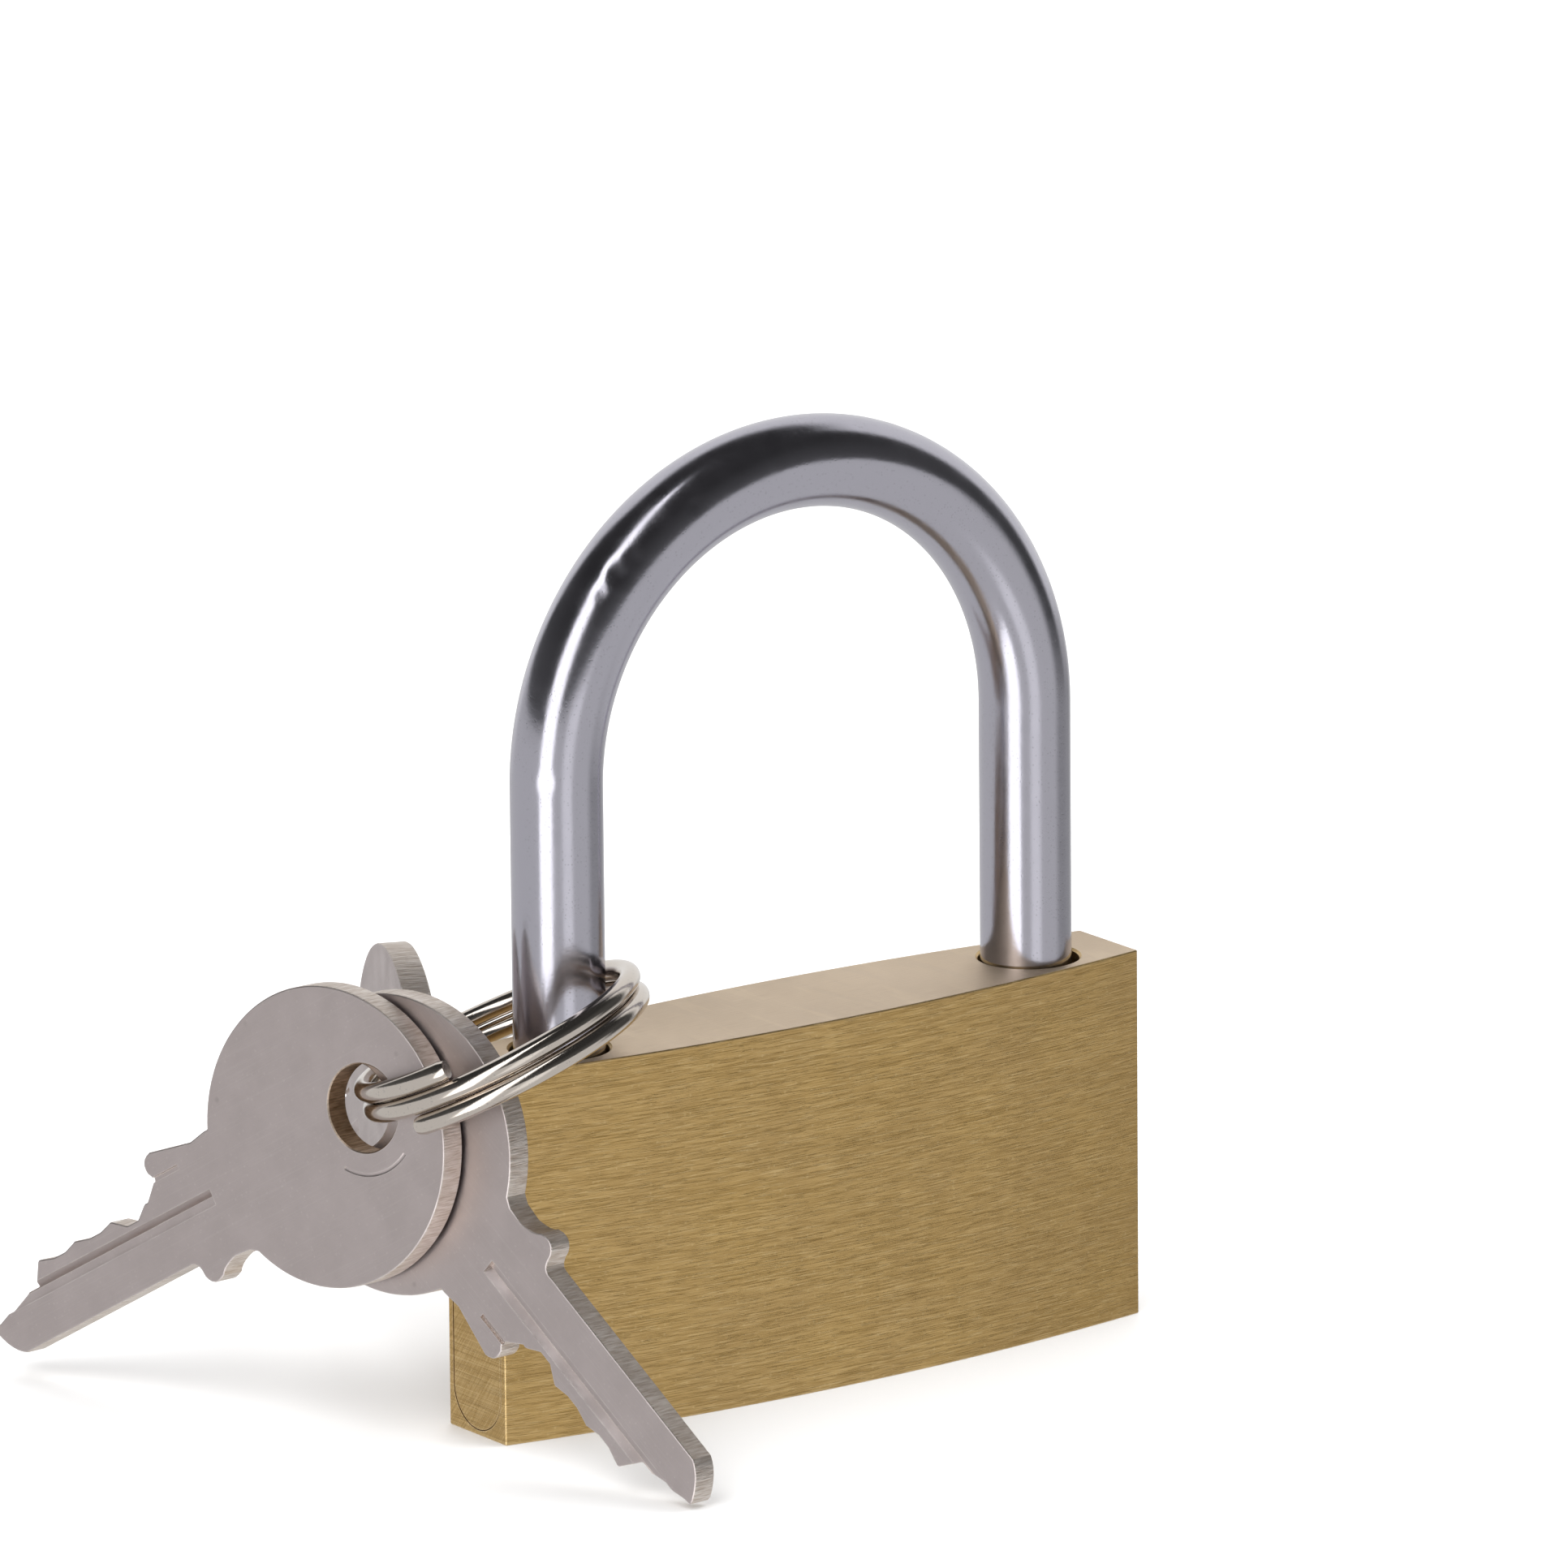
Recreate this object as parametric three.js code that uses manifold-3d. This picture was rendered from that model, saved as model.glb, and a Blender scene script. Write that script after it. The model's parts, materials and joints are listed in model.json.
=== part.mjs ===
// Brass padlock with a chromed steel shackle, a pin cylinder and a split ring of three keys.
// Millimetres, +Z up, +X along the width towards the heel of the shackle, -Y towards the front.
// Heights below are measured from the base; the whole group is lowered at the end, so that the
// origin is the centre of the flat top of the body, midway between the shackle's legs.

import * as THREE from 'three';
import { mergeVertices } from 'three/addons/utils/BufferGeometryUtils.js';
import Module from 'manifold-3d';

const wasm = await Module();
wasm.setup();

// ---------------------------------------------------------------- driving dimensions

// Body
const bodyWidth = 60;
const bodyHeight = 29.3;
const bodyDepthMiddle = 12.6;
const bodyDepthEnds = 7.5;
const bodyEdge = 0.3;

// Shackle: the toe is the short leg at -X, the heel the long one at +X
const legRadius = 3.55;
const legX = 22;
const legStraight = 20.5;
const toeTipHeight = 17.8;
const toeTipChamfer = 0.7;
const heelTipHeight = 7;
const heelCollarHeight = 2;
const heelNeckRadius = 2.45;
const heelNeckTop = 24.7;
const notchDepth = 2.2;
const notchBottom = 20.9;
const notchTop = 27.1;

// Bores in the body
const heelBoreRadius = 3.95;
const heelBoreOffset = 0.25;
const heelBoreBottom = 3;
const toeBoreRadius = 3.85;
const toeBoreBottom = 17.3;

// Plug, the part of the cylinder that turns with the key
const plugRadius = 5;
const plugLength = 20.5;
const plugGap = 0.12;
const plugGrooveHeight = 18.6;
const plugGrooveWidth = 2;
const plugGrooveDepth = 0.9;
const keywayDepth = 17.8;
const camPinRadius = 0.9;
const camPinOffset = 2.2;
const camPinTop = 23.2;
const camPinFoot = 18;

// Latch bolt, drawn back towards +X by the cam pin
const latchHeight = 24;
const latchRadius = 2.82;
const latchBoreRadius = 3;
const latchNoseX = -17.3;
const latchTailX = 4.4;
const latchBoreEndX = 9.4;
const latchSlotHeight = 2.3;
const latchSlotGap = 0.2;
const latchBevel = 1.5;

// Pin stacks: four chambers drilled in from the toe end
const chamberCount = 4;
const firstChamberHeight = 3.5;
const chamberPitch = 4;
const chamberRadius = 1.4;
const pinRadius = 1.25;
const driverLength = 4;
const driverGap = 0.2;
const keyPinGap = 0.15;

// Cover strip pressed over the chambers and ground flush with the toe end
const coverWidth = 6.2;
const coverThickness = 1.2;
const coverBottom = 0.45;
const coverGap = 0.06;

// Cross pins
const plugPinRadius = 0.8;
const heelPinRadius = 1;
const heelPinHeight = 23.4;
const heelPinTipX = 24.9;
const crossPinGap = 0.05;

// Key: x runs from the bow's centre to the tip, y towards the cut edge
const keyThickness = 2.2;
const bowRadius = 11.6;
const keyHoleRadius = 3.4;
const keyHoleX = -4.5;
const keyHoleY = 0.6;
const bladeSpineY = -3.95;
const bladeTopY = 2.1;
const shoulderX = 17.4;
const keyTipX = 37.7;
const cutDepths = [1.1, 1.65, 1.6, 0.2];
const grooveDepth = 0.55;
const grooveWidth = 1.3;
const keywayClearance = 0.15;

// Split ring
const ringRadius = 10.97;
const ringWireRadius = 0.8;
const ringPitch = 1.66;
const ringTurns = 2 + 24 / 360;
const ringStartAngle = THREE.MathUtils.degToRad(195);
const ringCentre = new THREE.Vector3(-27.6, -0.5, 30.6);
const ringNormal = new THREE.Vector3(-0.299, 0.306, 0.905).normalize();

// Flat sides given to the round bars and holes, by size
const pinSides = 20;
const rodSides = 32;
const boreSides = 44;

// Where each key hangs: its bow's centre, the way its blade points and the way its open face looks
const keyPlaces = [
  {
    name: 'key_front',
    bow: [-38.1, 6.98, 23.54],
    blade: [-0.288, 0.81, -0.509],
    face: [-0.954, -0.288, 0.082],
  },
  {
    name: 'key_middle',
    bow: [-34.28, 3.46, 23.11],
    blade: [0.167, -0.763, -0.624],
    face: [-0.96, -0.27, 0.073],
  },
  {
    name: 'key_back',
    bow: [-27.29, 13.74, 23.53],
    blade: [0.343, 0.828, -0.443],
    face: [-0.924, 0.383, 0],
  },
];

// ---------------------------------------------------------------- materials

const satinBrass = { color: 0xa38654, roughness: 0.42, metalness: 0.9 };
const paleBrass = { color: 0xc3b39b, roughness: 0.5, metalness: 0.8 };
const chrome = { color: 0xb9b8c6, roughness: 0.18, metalness: 1 };
const nickel = { color: 0xa09696, roughness: 0.38, metalness: 0.9 };
const polishedNickel = { color: 0xb4aca6, roughness: 0.15, metalness: 1 };
const springSteel = { color: 0x8c8c90, roughness: 0.35, metalness: 0.9 };

// ---------------------------------------------------------------- solids

function toSolid(geometry) {
  const bare = geometry.index ? geometry.toNonIndexed() : geometry.clone();
  bare.deleteAttribute('normal');
  bare.deleteAttribute('uv');
  const merged = mergeVertices(bare, 1e-4);
  const mesh = new wasm.Mesh({
    numProp: 3,
    vertProperties: new Float32Array(merged.attributes.position.array),
    triVerts: new Uint32Array(merged.index.array),
  });
  return new wasm.Manifold(mesh);
}

function toGeometry(solid) {
  const mesh = solid.getMesh();
  const geometry = new THREE.BufferGeometry();
  geometry.setAttribute('position', new THREE.BufferAttribute(mesh.vertProperties, 3));
  geometry.setIndex(new THREE.BufferAttribute(mesh.triVerts, 1));
  geometry.computeVertexNormals();
  return geometry;
}

// A round bar from one point to another
function bar(radius, from, to, sides = pinSides) {
  const start = new THREE.Vector3(...from);
  const end = new THREE.Vector3(...to);
  const direction = end.clone().sub(start);
  const geometry = new THREE.CylinderGeometry(radius, radius, direction.length(), sides);
  const turn = new THREE.Quaternion();
  turn.setFromUnitVectors(new THREE.Vector3(0, 1, 0), direction.normalize());
  geometry.applyQuaternion(turn);
  geometry.translate(...start.add(end).multiplyScalar(0.5));
  return toSolid(geometry);
}

// A block between two opposite corners
function block(low, high) {
  const size = high.map((value, i) => value - low[i]);
  const geometry = new THREE.BoxGeometry(...size);
  geometry.translate(...high.map((value, i) => (value + low[i]) / 2));
  return toSolid(geometry);
}

// A solid of revolution about Z; profile points are [radius, height]
function turned(profile, sides = boreSides) {
  const points = profile.map(([radius, height]) => new THREE.Vector2(radius, height));
  const geometry = new THREE.LatheGeometry(points, sides);
  geometry.rotateX(Math.PI / 2);
  return toSolid(geometry);
}

// A wire of round section along a curve
function wire(curve, radius, steps, sides) {
  const section = new THREE.Shape();
  section.absarc(0, 0, radius, 0, 2 * Math.PI, false);
  const options = { steps, curveSegments: sides, bevelEnabled: false, extrudePath: curve };
  return new THREE.ExtrudeGeometry(section, options);
}

// A coil about an axis; its ends are open turns
class Coil extends THREE.Curve {
  constructor(radius, length, turns, startAngle = 0) {
    super();
    Object.assign(this, { radius, length, turns, startAngle });
  }

  getPoint(t, target = new THREE.Vector3()) {
    const angle = this.startAngle + 2 * Math.PI * this.turns * t;
    return target.set(this.radius * Math.cos(angle), this.radius * Math.sin(angle), this.length * (t - 0.5));
  }
}

// The centre line of the shackle: one step down each leg and the rest round the bow
class ShackleLine extends THREE.Curve {
  constructor(toeEnd, heelEnd, springLine, bowSteps) {
    super();
    Object.assign(this, { toeEnd, heelEnd, springLine, bowSteps });
  }

  getUtoTmapping(u) {
    return u;
  }

  getPoint(t, target = new THREE.Vector3()) {
    const step = t * (this.bowSteps + 2);
    if (step < 1) {
      return target.set(-legX, 0, THREE.MathUtils.lerp(this.toeEnd, this.springLine, step));
    }
    if (step > this.bowSteps + 1) {
      const fraction = step - this.bowSteps - 1;
      return target.set(legX, 0, THREE.MathUtils.lerp(this.springLine, this.heelEnd, fraction));
    }
    const angle = Math.PI * (1 - (step - 1) / this.bowSteps);
    return target.set(legX * Math.cos(angle), 0, this.springLine + legX * Math.sin(angle));
  }
}

const parts = [];

function addPart(name, shape, finish) {
  const geometry = shape.isBufferGeometry ? shape : toGeometry(shape);
  const mesh = new THREE.Mesh(geometry, new THREE.MeshStandardMaterial(finish));
  mesh.name = name;
  parts.push(mesh);
  return mesh;
}

const chamberHeights = Array.from({ length: chamberCount }, (_, i) => firstChamberHeight + i * chamberPitch);

// ---------------------------------------------------------------- body

// Plan of the body: two shallow arcs, front and back, between flat ends
function bodyPlan() {
  const half = bodyWidth / 2;
  const bulge = (bodyDepthMiddle - bodyDepthEnds) / 2;
  const radius = (half * half + bulge * bulge) / (2 * bulge);
  const centreY = radius - bodyDepthMiddle / 2;
  const sweep = Math.asin(half / radius);
  const plan = new THREE.Shape();
  plan.absarc(0, centreY, radius, -Math.PI / 2 - sweep, -Math.PI / 2 + sweep, false);
  plan.absarc(0, -centreY, radius, Math.PI / 2 - sweep, Math.PI / 2 + sweep, false);
  plan.closePath();
  return plan;
}

// The outline of the cover strip, grown by a margin
function stadium(margin) {
  const radius = coverWidth / 2 + margin;
  const low = coverBottom + coverWidth / 2;
  const high = latchHeight;
  const outline = new THREE.Shape();
  outline.absarc(0, high, radius, 0, Math.PI, false);
  outline.absarc(0, low, radius, Math.PI, 2 * Math.PI, false);
  outline.closePath();
  return outline;
}

function stadiumPlate(margin, fromX, toX) {
  const options = { depth: toX - fromX, curveSegments: 10, bevelEnabled: false };
  const geometry = new THREE.ExtrudeGeometry(stadium(margin), options);
  geometry.rotateX(Math.PI / 2);
  geometry.rotateZ(Math.PI / 2);
  geometry.translate(fromX, 0, 0);
  return toSolid(geometry);
}

function makeBody() {
  const options = {
    depth: bodyHeight - 2 * bodyEdge,
    curveSegments: 10,
    bevelThickness: bodyEdge,
    bevelSize: bodyEdge,
    bevelOffset: -bodyEdge,
    bevelSegments: 1,
  };
  const geometry = new THREE.ExtrudeGeometry(bodyPlan(), options);
  geometry.translate(0, 0, bodyEdge);
  const end = bodyWidth / 2;
  const heelX = legX + heelBoreOffset;
  const cuts = [
    bar(heelBoreRadius, [heelX, 0, heelBoreBottom], [heelX, 0, bodyHeight + 1], boreSides),
    bar(toeBoreRadius, [-legX, 0, toeBoreBottom], [-legX, 0, bodyHeight + 1], boreSides),
    bar(plugRadius + plugGap, [0, 0, -1], [0, 0, plugLength + 0.3], boreSides),
    bar(camPinOffset + camPinRadius + 0.25, [0, 0, plugLength], [0, 0, latchHeight], rodSides),
    bar(latchBoreRadius, [-end + coverThickness, 0, latchHeight], [latchBoreEndX, 0, latchHeight], rodSides),
    bar(plugPinRadius + crossPinGap, [plugRadius - 1.5, 0, plugGrooveHeight], [legX, 0, plugGrooveHeight]),
    bar(heelPinRadius + crossPinGap, [legX, 0, heelPinHeight], [end + 1, 0, heelPinHeight]),
    stadiumPlate(coverGap, -end - 1, -end + coverThickness + coverGap),
    ...chamberHeights.map((z) => bar(chamberRadius, [-end + 0.5, 0, z], [-2, 0, z])),
  ];
  return cuts.reduce((solid, cut) => solid.subtract(cut), toSolid(geometry));
}

addPart('body', makeBody(), satinBrass);
addPart('chamber_cover', stadiumPlate(0, -bodyWidth / 2, -bodyWidth / 2 + coverThickness), paleBrass);

// ---------------------------------------------------------------- shackle

function makeShackle() {
  const bowSteps = 32;
  const springLine = bodyHeight + legStraight;
  const line = new ShackleLine(toeTipHeight, heelNeckTop, springLine, bowSteps);
  const rod = toSolid(wire(line, legRadius, bowSteps + 2, 14));
  const collarTop = heelTipHeight + heelCollarHeight;
  const neck = bar(heelNeckRadius, [legX, 0, heelTipHeight + 0.5], [legX, 0, heelNeckTop + 1], rodSides);
  const collar = bar(legRadius, [legX, 0, heelTipHeight], [legX, 0, collarTop], rodSides);
  const innerSide = -legX + legRadius;
  const notch = block(
    [innerSide - notchDepth, -legRadius - 1, notchBottom],
    [innerSide + 1, legRadius + 1, notchTop],
  );
  const tipCutter = turned([
    [legRadius - toeTipChamfer, 0],
    [legRadius + 1, -1],
    [legRadius + 1, toeTipChamfer + 1],
    [legRadius - toeTipChamfer, 0],
  ]).translate([-legX, 0, toeTipHeight - 0.01]);
  return rod.add(neck).add(collar).subtract(notch).subtract(tipCutter);
}

addPart('shackle', makeShackle(), chrome);

function addSpring(name, coilRadius, wireRadius, length, turns, stepsPerTurn, placeSpring) {
  const curve = new Coil(coilRadius, length - 2 * wireRadius, turns);
  const geometry = wire(curve, wireRadius, Math.round(turns * stepsPerTurn), 3);
  placeSpring(geometry);
  addPart(name, toSolid(geometry), springSteel);
}

const shackleSpringLength = heelTipHeight - heelBoreBottom - 0.4;
addSpring('shackle_spring', 2.6, 0.35, shackleSpringLength, 3, 14, (geometry) => {
  geometry.translate(legX, 0, heelBoreBottom + 0.2 + shackleSpringLength / 2);
});
addPart(
  'heel_retaining_pin',
  bar(heelPinRadius, [heelPinTipX, 0, heelPinHeight], [bodyWidth / 2 - crossPinGap, 0, heelPinHeight]),
  satinBrass,
);

// ---------------------------------------------------------------- plug and cam

// The cam pin stands 45 degrees from X at the end of the key's turn, at the same distance along X and Y
const camX = camPinOffset * Math.SQRT1_2;

// The keyway runs along Y while the plug stands at the end of the key's turn
const keywayMiddle = (bladeSpineY + bladeTopY) / 2;

function keywaySolid() {
  const low = bladeSpineY - keywayMiddle - keywayClearance;
  const high = bladeTopY - keywayMiddle + keywayClearance;
  const halfWidth = keyThickness / 2 + keywayClearance;
  const ward = grooveDepth - keywayClearance;
  const slot = block([-halfWidth, low, -1], [halfWidth, high, keywayDepth]);
  const wardMiddle = -keywayMiddle;
  const wardHalf = grooveWidth / 2 - keywayClearance;
  const rail = block(
    [-halfWidth - 0.5, wardMiddle - wardHalf, -2],
    [-halfWidth + ward, wardMiddle + wardHalf, keywayDepth + 1],
  );
  return slot.subtract(rail);
}

function makePlug() {
  const grooveLow = plugGrooveHeight - plugGrooveWidth / 2;
  const grooveHigh = plugGrooveHeight + plugGrooveWidth / 2;
  const waist = plugRadius - plugGrooveDepth;
  const barrel = turned([
    [0, 0],
    [plugRadius - 0.25, 0],
    [plugRadius, 0.25],
    [plugRadius, grooveLow],
    [waist, grooveLow],
    [waist, grooveHigh],
    [plugRadius, grooveHigh],
    [plugRadius, plugLength],
    [0, plugLength],
  ]);
  const camHoleRadius = camPinRadius + crossPinGap;
  const camHole = bar(camHoleRadius, [camX, camX, camPinFoot - 0.2], [camX, camX, plugLength + 1]);
  const pinHoles = chamberHeights.map((z) => bar(pinRadius + 0.1, [0, 0, z], [0, plugRadius + 1, z]));
  return [keywaySolid(), camHole, ...pinHoles].reduce((solid, cut) => solid.subtract(cut), barrel);
}

addPart('plug', makePlug(), paleBrass);
addPart('cam_pin', bar(camPinRadius, [camX, camX, camPinFoot], [camX, camX, camPinTop]), springSteel);
addPart(
  'plug_retaining_pin',
  bar(
    plugPinRadius,
    [plugRadius - plugGrooveDepth + 0.3, 0, plugGrooveHeight],
    [legX + heelBoreOffset - heelBoreRadius - 0.3, 0, plugGrooveHeight],
  ),
  springSteel,
);

// ---------------------------------------------------------------- latch bolt

function makeLatch() {
  const blank = bar(latchRadius, [latchNoseX, 0, latchHeight], [latchTailX, 0, latchHeight], rodSides);
  const slotHalf = camPinRadius + latchSlotGap;
  const slotFloor = latchHeight - latchRadius;
  const slot = block(
    [camX - slotHalf, -latchRadius - 1, slotFloor - 1],
    [camX + slotHalf, latchRadius + 1, slotFloor + latchSlotHeight],
  );
  const bevel = new THREE.BoxGeometry(latchBevel * 2, latchRadius * 3, latchBevel * 2);
  bevel.rotateY(Math.PI / 4);
  bevel.translate(latchNoseX - 0.2, 0, latchHeight + latchRadius + 0.2);
  return blank.subtract(slot).subtract(toSolid(bevel));
}

addPart('latch_bolt', makeLatch(), nickel);

const latchSpringLength = latchBoreEndX - latchTailX - 0.5;
addSpring('latch_spring', 2, 0.3, latchSpringLength, 4, 12, (geometry) => {
  geometry.rotateY(Math.PI / 2);
  geometry.translate(latchBoreEndX - 0.25 - latchSpringLength / 2, 0, latchHeight);
});

// ---------------------------------------------------------------- pin stacks

const driverFace = -(plugRadius + driverGap);
const driverTravel = 1.5;

function addPinStack(index) {
  const height = chamberHeights[index];
  const number = index + 1;
  const cutHeight = cutDepths[index] - keywayMiddle;
  const outer = plugRadius - keyPinGap;
  const pinLength = outer - cutHeight - 0.1;
  const keyPin = turned([
    [0, 0],
    [0.3, 0],
    [pinRadius - 0.1, 0.9],
    [pinRadius, pinLength - 0.15],
    [pinRadius - 0.35, pinLength],
    [0, pinLength],
  ], pinSides);
  const standing = keyPin.rotate([-90, 0, 0]).translate([0, outer - pinLength, height]);
  addPart(`key_pin_${number}`, standing, paleBrass);
  const driverEnd = driverFace - driverLength;
  const driver = bar(pinRadius, [driverFace, 0, height], [driverEnd, 0, height]);
  addPart(`driver_pin_${number}`, driver, nickel);
  const springEnd = -bodyWidth / 2 + coverThickness + 0.3;
  const springLength = driverEnd - driverTravel - 0.2 - springEnd;
  addSpring(`pin_spring_${number}`, 1, 0.17, springLength, 7, 8, (geometry) => {
    geometry.rotateY(Math.PI / 2);
    geometry.translate(springEnd + springLength / 2, 0, height);
  });
}

for (let index = 0; index < chamberCount; index += 1) {
  addPinStack(index);
}

// ---------------------------------------------------------------- keys

// Outline of the key: round bow, two shoulders, the cut edge and the straight spine
function keyOutline() {
  const outline = new THREE.Shape();
  const upperAngle = Math.asin(4.8 / bowRadius);
  const lowerAngle = -Math.asin(5.4 / bowRadius);
  outline.absarc(0, 0, bowRadius, upperAngle, 2 * Math.PI + lowerAngle, false);
  outline.lineTo(11, -5);
  outline.lineTo(12.5, -4.9);
  outline.quadraticCurveTo(13.9, -5.2, 14.3, -5.8);
  outline.quadraticCurveTo(15.6, -6.4, 16.1, -5.2);
  outline.lineTo(16.4, bladeSpineY);
  outline.lineTo(35.6, bladeSpineY);
  outline.quadraticCurveTo(36.9, -3.4, keyTipX, -1.5);
  outline.lineTo(keyTipX, -1.1);
  outline.lineTo(37, -1);
  cutEdge(outline);
  outline.lineTo(17.5, 3.1);
  outline.quadraticCurveTo(17.2, 3.4, 17.7, 3.9);
  outline.quadraticCurveTo(18, 5.1, 16.8, 5.35);
  outline.lineTo(12.6, 4.55);
  outline.lineTo(11, 4.8);
  outline.closePath();
  return outline;
}

// The cuts, from the tip back to the shoulder: each is a short flat between two slopes
function cutEdge(outline) {
  const flat = 0.6;
  const crest = bladeTopY - 0.1;
  for (let index = chamberCount - 1; index >= 0; index -= 1) {
    const x = shoulderX + chamberHeights[index];
    const depth = cutDepths[index];
    outline.lineTo(x + flat, depth);
    outline.lineTo(x - flat, depth);
    const nextDepth = index > 0 ? cutDepths[index - 1] : crest + 0.4;
    const lift = Math.min(crest, Math.max(depth, nextDepth) + 0.45);
    outline.lineTo(x - chamberPitch / 2 + 0.1, lift);
  }
}

function makeKey() {
  const outline = keyOutline();
  const hole = new THREE.Path();
  hole.absarc(keyHoleX, keyHoleY, keyHoleRadius, 0, 2 * Math.PI, true);
  outline.holes.push(hole);
  const options = { depth: keyThickness, curveSegments: 18, bevelEnabled: false };
  const geometry = new THREE.ExtrudeGeometry(outline, options);
  geometry.translate(0, 0, -keyThickness / 2);
  const groove = block(
    [bowRadius + 0.9, -grooveWidth / 2, -keyThickness],
    [keyTipX + 1, grooveWidth / 2, -keyThickness / 2 + grooveDepth],
  );
  return toSolid(geometry).subtract(groove);
}

const keySolid = makeKey();

for (const { name, bow, blade, face } of keyPlaces) {
  const faceDirection = new THREE.Vector3(...face).normalize();
  const bladeDirection = new THREE.Vector3(...blade).projectOnPlane(faceDirection).normalize();
  const awayFromFace = faceDirection.clone().negate();
  const cutDirection = new THREE.Vector3().crossVectors(awayFromFace, bladeDirection);
  const mesh = addPart(name, keySolid, nickel);
  mesh.quaternion.setFromRotationMatrix(
    new THREE.Matrix4().makeBasis(bladeDirection, cutDirection, awayFromFace),
  );
  mesh.position.set(...bow);
}

// ---------------------------------------------------------------- split ring

function makeRing() {
  const rise = ringPitch * ringTurns;
  const curve = new Coil(ringRadius, rise, ringTurns, ringStartAngle);
  return toSolid(wire(curve, ringWireRadius, Math.round(ringTurns * 36), 5));
}

const ring = addPart('split_ring', makeRing(), polishedNickel);
const ringAcross = new THREE.Vector3(0, 1, 0).cross(ringNormal).normalize();
const ringAlong = new THREE.Vector3().crossVectors(ringNormal, ringAcross);
ring.quaternion.setFromRotationMatrix(new THREE.Matrix4().makeBasis(ringAcross, ringAlong, ringNormal));
ring.position.copy(ringCentre);

// ---------------------------------------------------------------- assembly

const padlock = new THREE.Group();
padlock.name = 'padlock';
padlock.add(...parts);
padlock.position.z = -bodyHeight;

export default padlock;
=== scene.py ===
"""The looks of a brass padlock with a chromed shackle and three keys on a split ring.

Every shape is worked out in millimetres, with heights from the base of the body, and is set down in
the frame in metres. The frame's origin is the centre of the body's flat top; +X is the heel leg's
side and -Y the front.
"""

import json
import logging
import math
from abc import ABC, abstractmethod
from dataclasses import dataclass
from enum import Enum
from typing import Any, ClassVar, Sequence

import bmesh
import bpy
from mathutils import Matrix, Vector


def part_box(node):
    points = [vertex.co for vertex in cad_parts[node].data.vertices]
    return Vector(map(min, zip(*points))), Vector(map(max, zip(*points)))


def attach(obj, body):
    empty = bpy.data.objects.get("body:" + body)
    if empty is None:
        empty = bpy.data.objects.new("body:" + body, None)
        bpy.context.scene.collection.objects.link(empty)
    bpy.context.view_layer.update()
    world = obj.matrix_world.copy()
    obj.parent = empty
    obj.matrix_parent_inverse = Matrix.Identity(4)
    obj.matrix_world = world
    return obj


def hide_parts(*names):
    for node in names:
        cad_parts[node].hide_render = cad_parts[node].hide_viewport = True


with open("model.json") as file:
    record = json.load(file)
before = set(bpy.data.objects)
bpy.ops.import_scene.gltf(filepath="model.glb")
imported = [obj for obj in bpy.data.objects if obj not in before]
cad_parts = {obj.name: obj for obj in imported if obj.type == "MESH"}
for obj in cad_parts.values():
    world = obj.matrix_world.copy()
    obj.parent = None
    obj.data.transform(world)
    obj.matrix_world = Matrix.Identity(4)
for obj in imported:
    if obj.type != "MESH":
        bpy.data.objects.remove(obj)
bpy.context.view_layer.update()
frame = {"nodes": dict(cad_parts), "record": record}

MM = 0.001
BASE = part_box("body")[0].z
LAND = -BASE / MM
TO_FRAME = Matrix.Translation((0, 0, BASE)) @ Matrix.Scale(MM, 4)

# Takes an outline drawn in Y and Z, and its height along X.
UPRIGHT = Matrix.Rotation(math.pi / 2, 4, "Z") @ Matrix.Rotation(math.pi / 2, 4, "X")

# Heights of the pin chambers, which are also the places of a key's cuts from its shoulder.
CHAMBERS = (3.5, 7.5, 11.5, 15.5)

# How many sides stand for a wide round that shows, and for a small one.
FINE = 96
COARSE = 32

Point = tuple[float, float]
Ring = list[Vector]
Socket = bpy.types.NodeSocket
Look = dict[str, Socket]
OWN_PLACE = "own_place"
RIM = "rim"
log = logging.getLogger("padlock")


# ---- outlines and rings


def arc(centre: Point, radius: float, start: float, end: float, steps: int) -> list[Point]:
    """Points along a round arc of some steps, from the start angle to the end angle in degrees."""
    turns = [math.radians(start + (end - start) * i / steps) for i in range(steps + 1)]
    return [(centre[0] + radius * math.cos(a), centre[1] + radius * math.sin(a)) for a in turns]


def bend(start: Point, control: Point, end: Point, steps: int = 6) -> list[Point]:
    """Points along a curve that leaves start towards control and comes to end.

    Args:
        start: The point before the curve, which is left out of the result.
        control: The point that both ends of the curve aim at.
        end: The curve's last point.
        steps: How many stretches the curve has.

    Returns:
        The points after start, up to end.
    """
    made = []
    for step in range(1, steps + 1):
        t = step / steps
        weights = ((1 - t) ** 2, 2 * t * (1 - t), t * t)
        made.append(tuple(
            sum(w * p[axis] for w, p in zip(weights, (start, control, end))) for axis in (0, 1)
        ))
    return made


def circle(centre: Vector, across: Vector, along: Vector, radius: float, sides: int) -> Ring:
    """A ring of points in space, from the way across to the way along a quarter turn further on."""
    turns = [2 * math.pi * i / sides for i in range(sides)]
    return [centre + radius * (math.cos(a) * across + math.sin(a) * along) for a in turns]


# ---- making a mesh


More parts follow.
